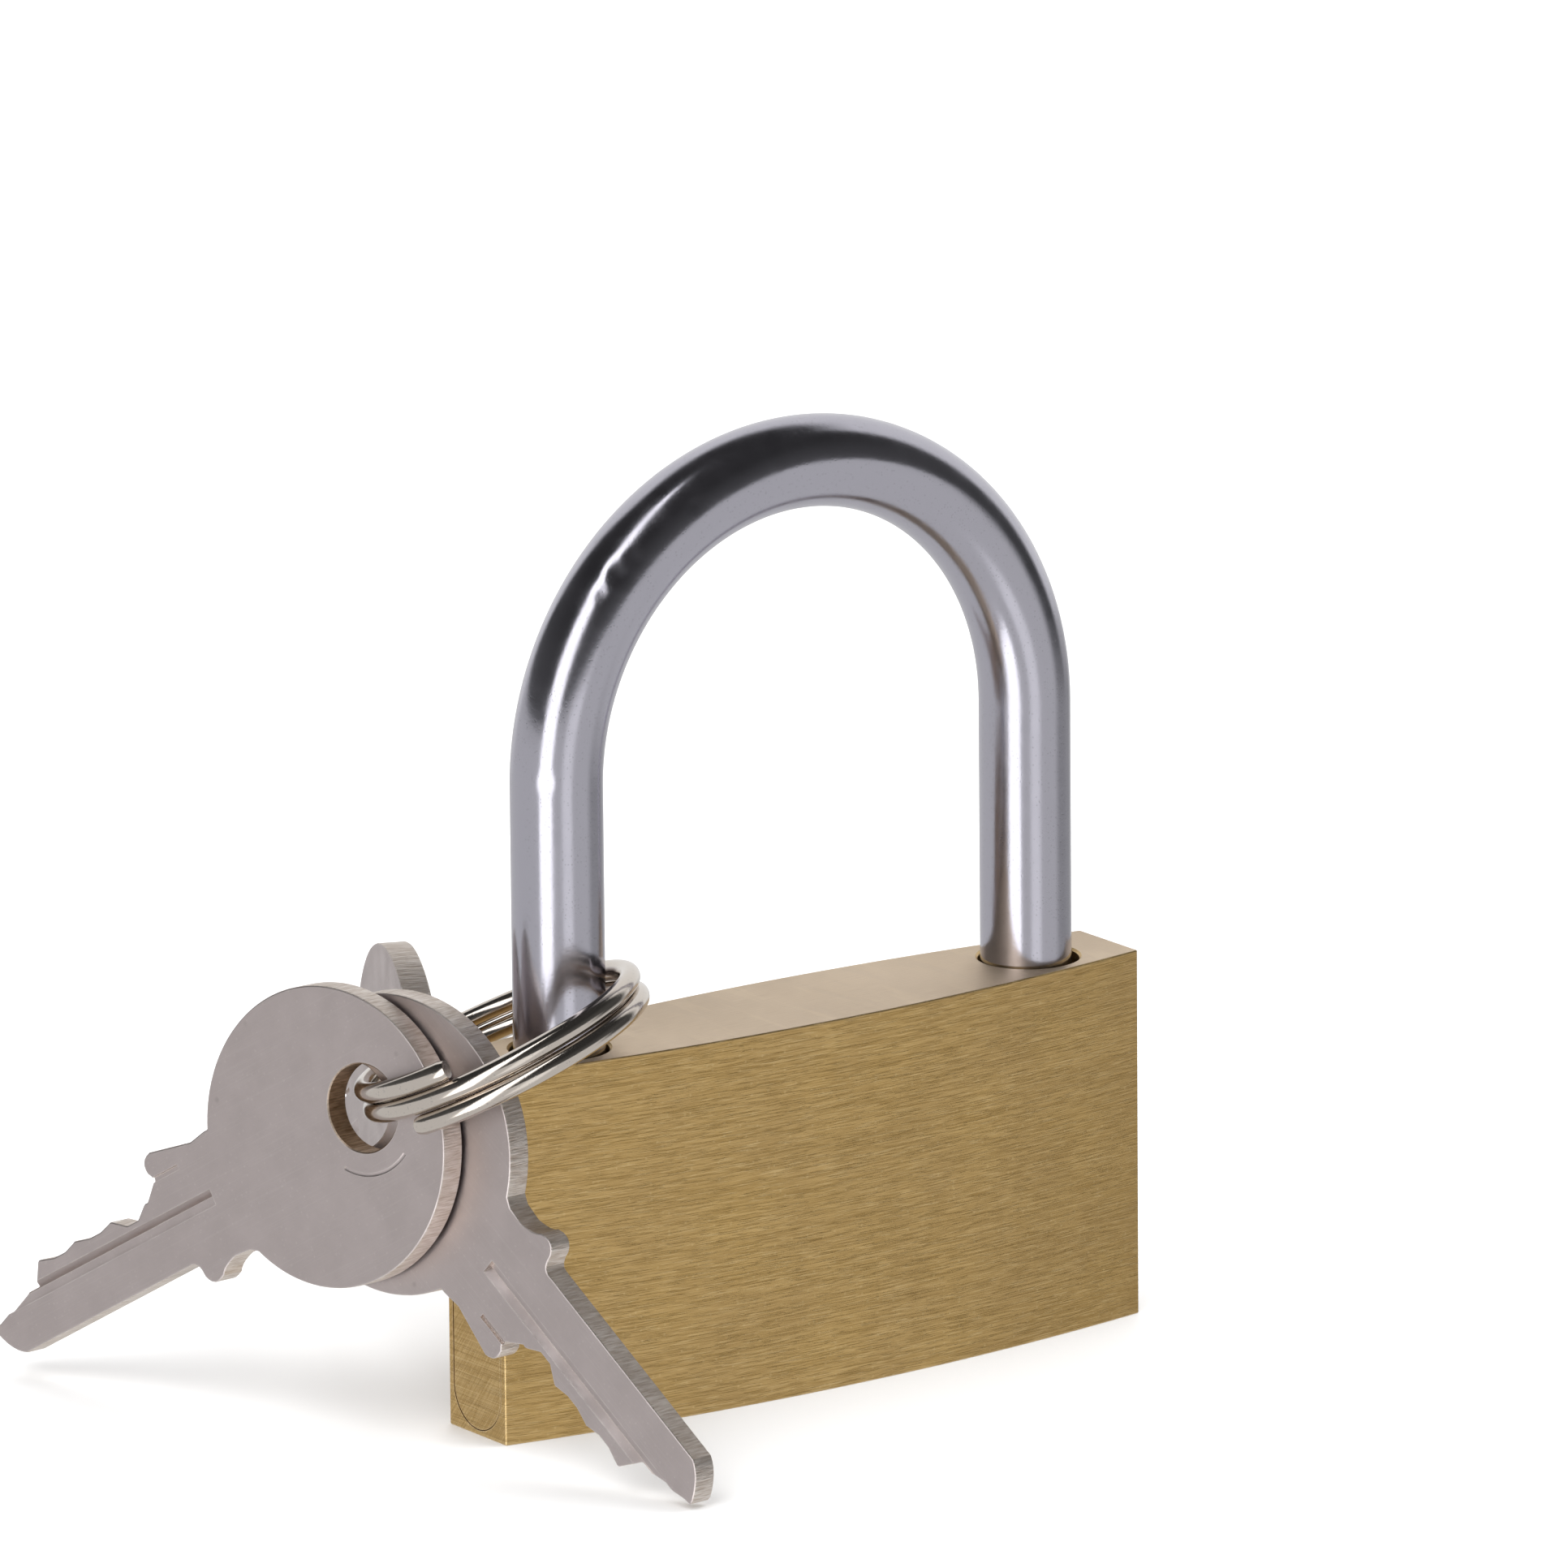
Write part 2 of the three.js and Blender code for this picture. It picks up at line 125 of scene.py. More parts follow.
class Workpiece:
    """A closed mesh that is being made, in millimetres."""

    def __init__(
        self, name: str, points: Sequence[Sequence[float]], faces: Sequence[Sequence[int]]
    ) -> None:
        """Starts the mesh from its points and faces.

        Args:
            name: The name of the piece.
            points: The corners.
            faces: Each face as a list of corner numbers.
        """
        mesh = bpy.data.meshes.new(name)
        mesh.from_pydata([tuple(p) for p in points], [], faces)
        self.object = bpy.data.objects.new(name, mesh)
        bpy.context.scene.collection.objects.link(self.object)
        edit = bmesh.new()
        edit.from_mesh(mesh)
        bmesh.ops.recalc_face_normals(edit, faces=edit.faces)
        edit.to_mesh(mesh)
        edit.free()

    @classmethod
    def prism(cls, name: str, outline: Sequence[Point], low: float, high: float) -> "Workpiece":
        """An outline given a height.

        Args:
            name: The name of the piece.
            outline: The closed outline, without its first point repeated.
            low: The height of the lower face.
            high: The height of the upper face.

        Returns:
            The new workpiece.
        """
        count = len(outline)
        points = [(x, y, z) for z in (low, high) for x, y in outline]
        faces = [tuple(reversed(range(count))), tuple(range(count, 2 * count))]
        for i in range(count):
            j = (i + 1) % count
            faces.append((i, j, count + j, count + i))
        return cls(name, points, faces)

    @classmethod
    def lofted(cls, name: str, rings: Sequence[Ring]) -> "Workpiece":
        """A skin over rings of equally many points, closed at both ends.

        Args:
            name: The name of the piece.
            rings: The rings in order.

        Returns:
            The new workpiece.
        """
        count = len(rings[0])
        points = [p for ring in rings for p in ring]
        last = count * (len(rings) - 1)
        faces = [tuple(reversed(range(count))), tuple(range(last, last + count))]
        for row in range(len(rings) - 1):
            for i in range(count):
                a, b = count * row + i, count * row + (i + 1) % count
                faces.append((a, b, b + count, a + count))
        return cls(name, points, faces)

    @classmethod
    def turned(cls, name: str, profile: Sequence[Point], sides: int = 64) -> "Workpiece":
        """A solid of revolution about Z, from the radius and height of each step."""
        x, y = Vector((1, 0, 0)), Vector((0, 1, 0))
        return cls.lofted(name, [circle(Vector((0, 0, z)), x, y, r, sides) for r, z in profile])

    @classmethod
    def block(cls, name: str, low: Sequence[float], high: Sequence[float]) -> "Workpiece":
        """A cutter with flat sides between its lowest and its highest corner."""
        outline = [(low[0], low[1]), (high[0], low[1]), (high[0], high[1]), (low[0], high[1])]
        return cls.prism(name, outline, low[2], high[2])

    def moved(self, place: Matrix) -> "Workpiece":
        """Moves or turns the whole mesh and returns the workpiece."""
        self.object.data.transform(place)
        return self

    def bevelled(self, width: float, segments: int = 2, angle: float = 35) -> "Workpiece":
        """Rounds off the edges that are sharper than an angle.

        Args:
            width: How wide the rounding is.
            segments: How many flats stand for it.
            angle: The least angle between two faces whose edge is rounded, in degrees.

        Returns:
            The workpiece.
        """
        limit = math.radians(angle)
        self.modify("BEVEL", width=width, segments=segments, limit_method="ANGLE", angle_limit=limit)
        return self.baked()

    def cut(self, *tools: "Workpiece") -> "Workpiece":
        """Takes the tools' shapes out of the mesh, removes the tools and returns the workpiece."""
        for tool in tools:
            self.modify("BOOLEAN", operation="DIFFERENCE", solver="EXACT", object=tool.object)
        self.baked()
        for tool in tools:
            bpy.data.objects.remove(tool.object)
        return self

    def modify(self, kind: str, **settings: Any) -> None:
        """Adds a modifier with its settings."""
        modifier = self.object.modifiers.new(kind, kind)
        for name, value in settings.items():
            setattr(modifier, name, value)

    def baked(self) -> "Workpiece":
        """Turns the modifiers into mesh and returns the workpiece."""
        bpy.context.view_layer.update()
        graph = bpy.context.evaluated_depsgraph_get()
        made = bpy.data.meshes.new_from_object(self.object.evaluated_get(graph))
        self.object.modifiers.clear()
        self.object.data = made
        return self

    def settled(self, place: Matrix = TO_FRAME, crease: float = 12) -> bpy.types.Object:
        """Scales the finished mesh to metres and shades it.

        Args:
            place: Takes millimetres to the mesh's place in metres.
            crease: Edges sharper than this stay sharp in the shading, in degrees.

        Returns:
            The finished object.
        """
        mesh = self.object.data
        mesh.transform(place)
        mesh.shade_smooth()
        mesh.set_sharp_from_angle(angle=math.radians(crease))
        return self.object


def lay(axis: str) -> Matrix:
    """A turn that takes +Z to +X ("X") or to +Y ("Y")."""
    return Matrix.Rotation(math.pi / 2, 4, "Y") if axis == "X" else Matrix.Rotation(-math.pi / 2, 4, "X")


def drilled(radius: float, low: float, high: float, flare: float = 0, sides: int = 64) -> Workpiece:
    """A drill that stands on Z, with a countersink at its upper end.

    Args:
        radius: The hole's radius.
        low: The height of the hole's bottom.
        high: The height of the face that it is drilled from.
        flare: How wide the countersink is.
        sides: How many sides stand for the round.

    Returns:
        The cutter.
    """
    cone = [(radius + flare + 1, high + 1)] if flare else []
    return Workpiece.turned("drill", [(radius, low), (radius, high - flare), *cone], sides)


# ---- making a material


class Graph:
    """Adds the nodes of one node tree and joins them."""

    def __init__(self, tree: bpy.types.NodeTree) -> None:
        """Takes the tree to work on."""
        self.tree = tree

    def add(self, kind: str, inputs: dict[Any, Any] | None = None, **settings: Any) -> bpy.types.Node:
        """Adds one node.

        Args:
            kind: The node's type.
            inputs: Input names or numbers, each with a value or the socket that feeds it.
            settings: The node's own settings.

        Returns:
            The new node.
        """
        node = self.tree.nodes.new(kind)
        for key, value in settings.items():
            setattr(node, key, value)
        for key, value in (inputs or {}).items():
            if isinstance(value, Socket):
                self.tree.links.new(value, node.inputs[key])
            else:
                node.inputs[key].default_value = value
        return node

    def sum(self, operation: str, *values: Any) -> Socket:
        """The result of a Math node, such as ADD or MULTIPLY, on values or sockets."""
        return self.add("ShaderNodeMath", dict(enumerate(values)), operation=operation).outputs[0]

    def times(self, *values: Any) -> Socket:
        """The product of two values or sockets."""
        return self.sum("MULTIPLY", *values)

    def vector(self, operation: str, *values: Any) -> Socket:
        """The result of a Vector Math node on vectors or sockets."""
        return self.add("ShaderNodeVectorMath", dict(enumerate(values)), operation=operation).outputs[0]

    def remap(self, value: Any, low: Any, high: Any, to_low: float = 0, to_high: float = 1) -> Socket:
        """A value stretched from one range to another, without passing the new range's ends."""
        inputs = {0: value, 1: low, 2: high, 3: to_low, 4: to_high}
        return self.add("ShaderNodeMapRange", inputs).outputs[0]

    def blend(self, factor: Any, first: Any, second: Any) -> Socket:
        """A mix of two colours: first at factor 0, second at 1."""
        inputs = {0: factor, 6: first, 7: second}
        return self.add("ShaderNodeMix", inputs, data_type="RGBA").outputs[2]

    def wash(self, base: Any, over: Any, mask: Any, share: float) -> Socket:
        """A colour with a share of another one laid over it where the mask says."""
        return self.blend(self.times(mask, share), base, over)

    def mixed(self, factor: Any, first: Any, second: Any) -> Socket:
        """A mix of two values: first at factor 0, second at 1."""
        return self.add("ShaderNodeMix", {0: factor, 2: first, 3: second}).outputs[0]

    def measure(self, operation: str, first: Any, second: Any = (0, 0, 0)) -> Socket:
        """The single value that a Vector Math node gives, such as LENGTH or DOT_PRODUCT."""
        node = self.add("ShaderNodeVectorMath", {0: first, 1: second}, operation=operation)
        return node.outputs["Value"]

    def part(self, vector: Any, axis: int) -> Socket:
        """The X, Y or Z of a vector."""
        return self.add("ShaderNodeSeparateXYZ", {0: vector}).outputs[axis]

    def noise(self, place: Any, scale: Any, detail: float = 2) -> Socket:
        """Noise over a place, from about 0.3 to 0.7."""
        inputs = {"Vector": place, "Scale": scale, "Detail": detail}
        return self.add("ShaderNodeTexNoise", inputs).outputs[0]

    def place(self) -> Socket:
        """The point on the surface, in the piece's own metres."""
        return self.add("ShaderNodeTexCoord").outputs["Object"]

    def stored(self, name: str) -> bpy.types.Node:
        """The node that reads an attribute stored in the mesh."""
        return self.add("ShaderNodeAttribute", attribute_name=name)

    def facing(self, axis: int) -> Socket:
        """How squarely the surface faces along one axis of the piece, from 0 to 1."""
        normal = self.add("ShaderNodeTexCoord").outputs["Normal"]
        return self.sum("ABSOLUTE", self.part(normal, axis))


class Effect(ABC):
    """A surface effect: a shader node group with named inputs and one output, built once."""

    title: ClassVar[str]
    result: ClassVar[str]
    settings: ClassVar[dict[str, float]]

    @classmethod
    @abstractmethod
    def build(cls, graph: Graph, given: Look) -> Socket:
        """Adds the effect's nodes and returns the socket that holds its value.

        Args:
            graph: The group's graph.
            given: The group's inputs by name.

        Returns:
            The socket that holds the effect's value.
        """

    @classmethod
    def group(cls) -> bpy.types.NodeTree:
        """The effect's node group, made the first time that it is asked for."""
        if cls.title in bpy.data.node_groups:
            return bpy.data.node_groups[cls.title]
        tree = bpy.data.node_groups.new(cls.title, "ShaderNodeTree")
        tree.interface.new_socket("Place", in_out="INPUT", socket_type="NodeSocketVector")
        for name, value in cls.settings.items():
            socket = tree.interface.new_socket(name, in_out="INPUT", socket_type="NodeSocketFloat")
            socket.default_value = value
        tree.interface.new_socket(cls.result, in_out="OUTPUT", socket_type="NodeSocketFloat")
        graph = Graph(tree)
        given = graph.add("NodeGroupInput").outputs
        value = cls.build(graph, {name: given[name] for name in ("Place", *cls.settings)})
        graph.add("NodeGroupOutput", {cls.result: value})
        return tree

    @classmethod
    def on(cls, graph: Graph, place: Socket, **values: Any) -> Socket:
        """Places the effect in a material, with its inputs by name and _ for each space."""
        inputs = {"Place": place, **{name.replace("_", " "): value for name, value in values.items()}}
        return graph.add("ShaderNodeGroup", inputs, node_tree=cls.group()).outputs[cls.result]


class Strokes(Effect):
    """Short fine strokes left by an abrasive belt; lengths are in millimetres, turns in degrees.

    Before it is turned, a stroke runs along X, and is as thin as Width along Z and as Depth along Y.
    """

    title = "belt strokes"
    result = "Strokes"
    settings = {"Length": 3, "Width": 0.1, "Depth": 0.1, "Turn Y": 0, "Turn X": 0, "Seed": 0}

    @classmethod
    def build(cls, graph: Graph, given: Look) -> Socket:
        """Adds noise that is stretched along the stroke and returns its value.

        Args:
            graph: The group's graph.
            given: The group's inputs by name.

        Returns:
            The socket that holds the effect's value.
        """
        turned = given["Place"]
        for axis in ("Y", "X"):
            angle = graph.sum("RADIANS", given[f"Turn {axis}"])
            inputs = {"Vector": turned, "Angle": angle}
            turned = graph.add("ShaderNodeVectorRotate", inputs, rotation_type=f"{axis}_AXIS").outputs[0]
        parts = [graph.sum("DIVIDE", 1 / MM, given[name]) for name in ("Length", "Depth", "Width")]
        stretch = graph.add("ShaderNodeCombineXYZ", dict(enumerate(parts))).outputs[0]
        shift = graph.add("ShaderNodeCombineXYZ", {0: given["Seed"], 1: given["Seed"]}).outputs[0]
        spot = graph.vector("ADD", graph.vector("MULTIPLY", turned, stretch), shift)
        return graph.remap(graph.noise(spot, 1, 3), 0.3, 0.7)


class Mottling(Effect):
    """Soft uneven patches, as of tarnish or handling; the size is in millimetres."""

    title = "mottling"
    result = "Patches"
    settings = {"Size": 8, "Low": 0.35, "High": 0.65}

    @classmethod
    def build(cls, graph: Graph, given: Look) -> Socket:
        """Adds broad noise and returns it between the two levels."""
        scale = graph.sum("DIVIDE", 1 / MM, given["Size"])
        return graph.remap(graph.noise(given["Place"], scale, 5), given["Low"], given["High"])


class EdgeWearAndHighlight(Effect):
    """Where an edge shows bright, partly from wear and partly as a painted highlight: 1 on the edge,
    broken up by noise.
    """

    title = "edge wear and painted highlight"
    result = "Worn"
    settings = {"Reach": 0.25, "Break Up": 0.5}

    @classmethod
    def build(cls, graph: Graph, given: Look) -> Socket:
        """Compares the surface with one whose edges are rounded, cuts that by noise and returns it.

        Args:
            graph: The group's graph.
            given: The group's inputs by name.

        Returns:
            The socket that holds the effect's value.
        """
        reach = graph.times(given["Reach"], MM)
        rounded = graph.add("ShaderNodeBevel", {"Radius": reach}, samples=4).outputs[0]
        true_normal = graph.add("ShaderNodeNewGeometry").outputs["Normal"]
        edge = graph.remap(graph.measure("DOT_PRODUCT", rounded, true_normal), 0.995, 0.9)
        patchy = graph.remap(graph.noise(given["Place"], 0.9 / MM, 3), 0.35, 0.6)
        lost = graph.times(graph.sum("SUBTRACT", 1, patchy), given["Break Up"])
        return graph.times(edge, graph.sum("SUBTRACT", 1, lost))


class Hairlines(Effect):
    """Sparse long fine scratches; lengths are in millimetres, turns in degrees."""

    title = "hairline scratches"
    result = "Scratches"
    settings = {
        "Length": 12, "Width": 0.12, "Depth": 0.12, "Turn Y": 0, "Turn X": 0, "Seed": 0, "Rarity": 0.62
    }

    @classmethod
    def build(cls, graph: Graph, given: Look) -> Socket:
        """Adds long strokes, keeps the strongest and returns them.

        Args:
            graph: The group's graph.
            given: The group's inputs by name.

        Returns:
            The socket that holds the effect's value.
        """
        values = {name: given[name] for name in Strokes.settings}
        strokes = Strokes.on(graph, given["Place"], **values)
        return graph.remap(strokes, given["Rarity"], graph.sum("ADD", given["Rarity"], 0.2))


class Specks(Effect):
    """Scattered small pits or grains; the spacing is in millimetres, the size a share of it."""

    title = "specks"
    result = "Specks"
    settings = {"Spacing": 0.6, "Size": 0.3, "Share": 0.5}

    @classmethod
    def build(cls, graph: Graph, given: Look) -> Socket:
        """Adds round spots in some of the cells and returns them.

        Args:
            graph: The group's graph.
            given: The group's inputs by name.

        Returns:
            The socket that holds the effect's value.
        """
        scale = graph.sum("DIVIDE", 1 / MM, given["Spacing"])
        cells = graph.add("ShaderNodeTexVoronoi", {"Vector": given["Place"], "Scale": scale})
        spot = graph.remap(cells.outputs["Distance"], given["Size"], 0)
        chosen = graph.add("ShaderNodeSeparateColor", {0: cells.outputs["Color"]}).outputs[0]
        return graph.times(spot, graph.sum("LESS_THAN", chosen, given["Share"]))


Colour = tuple[float, float, float, float]


def shade(red: float, green: float, blue: float) -> Colour:
    """A colour from its linear red, green and blue."""
    return (red, green, blue, 1.0)


@dataclass(frozen=True)
class Finish(ABC):
    """How a surface is finished: its colours, its sheen and its marks."""

    name: str
    colour: Colour
    roughness: float

    @abstractmethod
    def surface(self, graph: Graph, place: Socket) -> Look:
        """Adds the marks and returns the sockets for Base Color, Roughness and Height.

        Args:
            graph: The material's graph.
            place: The point that the marks are laid out by.

        Returns:
            The sockets by name.
        """

    def spot(self, graph: Graph) -> Socket:
        """The point on the surface that the marks are laid out by."""
        return graph.place()

    def material(self, relief: float = 0.02) -> bpy.types.Material:
        """The finish as a material.

        Args:
            relief: How deep the marks are, in millimetres.

        Returns:
            The material, made the first time that it is asked for.
        """
        if self.name in bpy.data.materials:
            return bpy.data.materials[self.name]
        made = bpy.data.materials.new(self.name)
        made.use_nodes = True
        graph = Graph(made.node_tree)
        shader = made.node_tree.nodes["Principled BSDF"]
        shader.inputs["Metallic"].default_value = 1
        look = self.surface(graph, self.spot(graph))
        bump = graph.add("ShaderNodeBump", {"Height": look.pop("Height"), "Distance": relief * MM})
        look["Normal"] = bump.outputs[0]
        for name, socket in look.items():
            graph.tree.links.new(socket, shader.inputs[name])
        return made


@dataclass(frozen=True)
class BrushedBrass(Finish):
    """Brass ground on a fine belt, with the ends brushed at a slant."""

    dark: Colour = shade(0.5, 0.32, 0.11)
    stain: Colour = shade(0.42, 0.28, 0.14)
    # Paler colour of the top face: partly its milled finish, partly a painted highlight from the light
    # that grazes it.
    top: Colour = shade(0.93, 0.79, 0.64)
    light: Colour = shade(0.92, 0.7, 0.36)
    # Bright colour of the edges: partly wear, partly a painted highlight over the dark reflection of the
    # bevel.
    rubbed_and_lit: Colour = shade(0.95, 0.8, 0.52)
    stroke_depth: float = 12
    slant_turn: float = 52
    stroke_length: float = 2.2
    stroke_width: float = 0.05

    def surface(self, graph: Graph, place: Socket) -> Look:
        """Strokes along the width, slanted ones on the ends, mottling, bright edges that are part wear and
        part painted highlight, and a paler top that is part milled finish and part painted highlight.

        Args:
            graph: The material's graph.
            place: The point that the marks are laid out by.

        Returns:
            The sockets for Base Color, Roughness and Height.
        """
        deep, turn = self.stroke_depth, self.slant_turn
        sizes = {"Length": self.stroke_length, "Width": self.stroke_width, "Depth": deep}
        long_way = Strokes.on(graph, place, **sizes)
        top_way = Strokes.on(graph, place, Turn_X=90, **sizes)
        slant = Strokes.on(graph, place, Length=0.6, Width=0.07, Depth=2.5, Turn_X=turn, Seed=7)
        on_end = graph.remap(graph.facing(0), 0.7, 0.8)
        on_top = graph.remap(graph.facing(2), 0.8, 0.9)
        strokes = graph.mixed(on_end, graph.mixed(on_top, long_way, top_way), slant)
        broad = Strokes.on(graph, place, Length=16, Width=0.22, Depth=20, Seed=3)
        dashes = {"Length": 2.2, "Width": 0.08, "Depth": deep, "Seed": 21, "Rarity": 0.64}
        dark_dashes = Hairlines.on(graph, place, **dashes)
        dashes = {"Length": 1.8, "Width": 0.07, "Depth": deep, "Seed": 33, "Rarity": 0.68}
        light_dashes = Hairlines.on(graph, place, **dashes)
        slashes = {"Length": 0.9, "Width": 0.09, "Depth": 3, "Seed": 9, "Rarity": 0.5}
        slits = Hairlines.on(graph, place, Turn_X=turn, **slashes)
        patches = Mottling.on(graph, place, Size=7)
        handled = graph.times(self.corner(graph, place), Mottling.on(graph, place, Size=0.7))
        grains = Specks.on(graph, place, Spacing=0.5, Size=0.3, Share=0.3)
        # Edge mask: edges that are worn bright and also carry a painted highlight.
        worn_and_lit_edge = EdgeWearAndHighlight.on(graph, place, Reach=0.22)
        tone = graph.remap(graph.sum("ADD", strokes, graph.times(broad, 0.4)), 0.1, 1.0)
        colour = graph.blend(tone, self.dark, self.colour)
        colour = graph.wash(colour, self.stain, patches, 0.22)
        colour = graph.wash(colour, self.dark, dark_dashes, 0.55)
        colour = graph.wash(colour, self.dark, handled, 0.65)
        colour = graph.wash(colour, self.dark, graph.times(on_end, slits), 0.75)
        colour = graph.wash(colour, self.light, light_dashes, 0.4)
        colour = graph.wash(colour, self.light, grains, 0.4)
        # Painted highlight: the top face is laid over with the paler top colour.
        colour = graph.wash(colour, self.top, on_top, 0.75)
        colour = graph.wash(colour, self.rubbed_and_lit, worn_and_lit_edge, 0.5)
        rough = graph.remap(tone, 0, 1, self.roughness + 0.1, self.roughness - 0.06)
        rough = graph.sum("ADD", rough, graph.times(on_top, 0.16))
        height = graph.sum("SUBTRACT", graph.times(strokes, 0.35), graph.times(dark_dashes, 0.4))
        return {"Base Color": colour, "Roughness": rough, "Height": height}

    @staticmethod
    def corner(graph: Graph, place: Socket) -> Socket:
        """Where a thumb has dulled the brass: 1 at the low corner by the heel leg.

        Args:
            graph: The material's graph.
            place: The point that the marks are laid out by.

        Returns:
            The socket that holds the mask.
        """
        parts = graph.add("ShaderNodeSeparateXYZ", {0: place}).outputs
        sideways = graph.remap(parts[0], 0.01, 0.03)
        downwards = graph.remap(parts[2], -0.012, -0.028)
        return graph.times(sideways, downwards)


@dataclass(frozen=True)
class PolishedPlate(Finish):
    """Bright plating over polished steel, with a faint haze, pits and a wavy shine."""

    haze: float = 0.1
    pitted: Colour = shade(0.3, 0.3, 0.32)

    def surface(self, graph: Graph, place: Socket) -> Look:
        """Haze patches, small pits and shallow waves.

        Args:
            graph: The material's graph.
            place: The point that the marks are laid out by.

        Returns:
            The sockets for Base Color, Roughness and Height.
        """
        patches = Mottling.on(graph, place, Size=2.5)
        pits = Specks.on(graph, place, Spacing=0.24, Size=0.36, Share=0.35)
        fine = graph.noise(place, 2.2 / MM, 3)
        waves = graph.noise(place, 0.28 / MM, 1)
        dull = graph.wash(self.colour, self.pitted, pits, 0.45)
        uneven = graph.sum("ADD", patches, pits)
        rough = graph.remap(uneven, 0, 2, self.roughness, self.roughness + self.haze)
        height = graph.sum("ADD", graph.times(fine, 0.2), graph.times(waves, 0.9))
        height = graph.sum("SUBTRACT", height, graph.times(pits, 0.16))
        return {"Base Color": dull, "Roughness": rough, "Height": height}


@dataclass(frozen=True)
class SatinNickel(Finish):
    """Nickel plate on stamped brass: satin faces, sheared rims and a bare drilled hole."""

    bare: Colour = shade(0.74, 0.56, 0.4)
    bare_dark: Colour = shade(0.36, 0.24, 0.14)
    # Rim colours are lightened to paint in the highlight that the rim shows; the shear marks blend between
    # the two.
    rim: Colour = shade(0.98, 0.91, 0.85)
    rim_dark_painted_light: Colour = shade(0.68, 0.58, 0.5)
    tarnish: Colour = shade(0.48, 0.43, 0.42)
    scratch: Colour = shade(0.7, 0.65, 0.63)
    speckle: Colour = shade(0.8, 0.74, 0.71)
    nick: Colour = shade(0.3, 0.26, 0.25)
    # Bright colour of the edges: partly wear, partly a painted highlight.
    rubbed_and_lit: Colour = shade(0.92, 0.87, 0.83)
    hole_x: float = -4.5
    hole_y: float = 0.6
    hole_radius: float = 3.4

    def spot(self, graph: Graph) -> Socket:
        """The point on the key before it was hung, which its mesh keeps."""
        return graph.stored(OWN_PLACE).outputs["Vector"]

    def surface(self, graph: Graph, place: Socket) -> Look:
        """Faint mottling on the faces, shear marks on the rims, whose colours are lightened as a painted
        highlight, brass in the hole, and bright edges that are part wear and part painted highlight.

        Args:
            graph: The material's graph.
            place: The point that the marks are laid out by.

        Returns:
            The sockets for Base Color, Roughness and Height.
        """
        patches = Mottling.on(graph, place, Size=3.2)
        grain = graph.noise(place, 3 / MM, 4)
        grains = Specks.on(graph, place, Spacing=0.4, Size=0.32, Share=0.3)
        nicks = Specks.on(graph, place, Spacing=2.6, Size=0.12, Share=0.35)
        lines = Hairlines.on(graph, place, Length=9, Rarity=0.66)
        shear = Strokes.on(graph, place, Length=1.6, Width=0.16, Depth=0.16, Turn_Y=90, Seed=5)
        on_rim = graph.stored(RIM).outputs["Fac"]
        centre = (self.hole_x * MM, self.hole_y * MM, 0)
        flat = graph.vector("MULTIPLY", graph.vector("SUBTRACT", place, centre), (1, 1, 0))
        reach = graph.measure("LENGTH", flat)
        in_hole = graph.remap(reach, (self.hole_radius + 0.12) * MM, (self.hole_radius + 0.02) * MM)
        # Edge mask: edges that are worn bright and also carry a painted highlight.
        worn_and_lit_edge = EdgeWearAndHighlight.on(graph, place, Reach=0.16, Break_Up=0.7)
        face = graph.wash(self.colour, self.tarnish, patches, 0.35)
        face = graph.wash(face, self.scratch, lines, 0.15)
        face = graph.wash(face, self.speckle, grains, 0.3)
        face = graph.wash(face, self.nick, nicks, 0.5)
        # Sheared rim colour, lightened as a painted highlight.
        sheared_rim_with_painted_light = graph.blend(shear, self.rim_dark_painted_light, self.rim)
        bored = graph.blend(shear, self.bare_dark, self.bare)
        colour = graph.blend(on_rim, face, sheared_rim_with_painted_light)
        colour = graph.blend(in_hole, colour, bored)
        colour = graph.wash(colour, self.rubbed_and_lit, worn_and_lit_edge, 0.7)
        uneven = graph.sum("ADD", patches, grain)
        rough = graph.remap(uneven, 0.4, 1.5, self.roughness - 0.05, self.roughness + 0.08)
        rough = graph.sum("ADD", rough, graph.times(on_rim, 0.08))
        marks = graph.times(graph.times(shear, on_rim), 1.4)
        height = graph.sum("ADD", graph.times(grain, 0.5), marks)
        height = graph.sum("SUBTRACT", height, nicks)
        return {"Base Color": colour, "Roughness": rough, "Height": height}


@dataclass(frozen=True)
class PlainMetal(Finish):
    """Drawn or turned metal inside the lock: faint lines, oil film and specks."""

    film: Colour = shade(0.2, 0.16, 0.1)

    def surface(self, graph: Graph, place: Socket) -> Look:
        """Fine tool lines under a patchy film.

        Args:
            graph: The material's graph.
            place: The point that the marks are laid out by.

        Returns:
            The sockets for Base Color, Roughness and Height.
        """
        lines = Strokes.on(graph, place, Length=0.8, Width=0.06, Depth=0.06, Seed=11)
        patches = Mottling.on(graph, place, Size=1.8)
        pits = Specks.on(graph, place, Spacing=0.5, Size=0.25, Share=0.3)
        colour = graph.wash(self.colour, self.film, patches, 0.3)
        uneven = graph.sum("ADD", lines, patches)
        rough = graph.remap(uneven, 0, 2, self.roughness - 0.08, self.roughness + 0.12)
        return {"Base Color": colour, "Roughness": rough, "Height": graph.sum("SUBTRACT", lines, pits)}


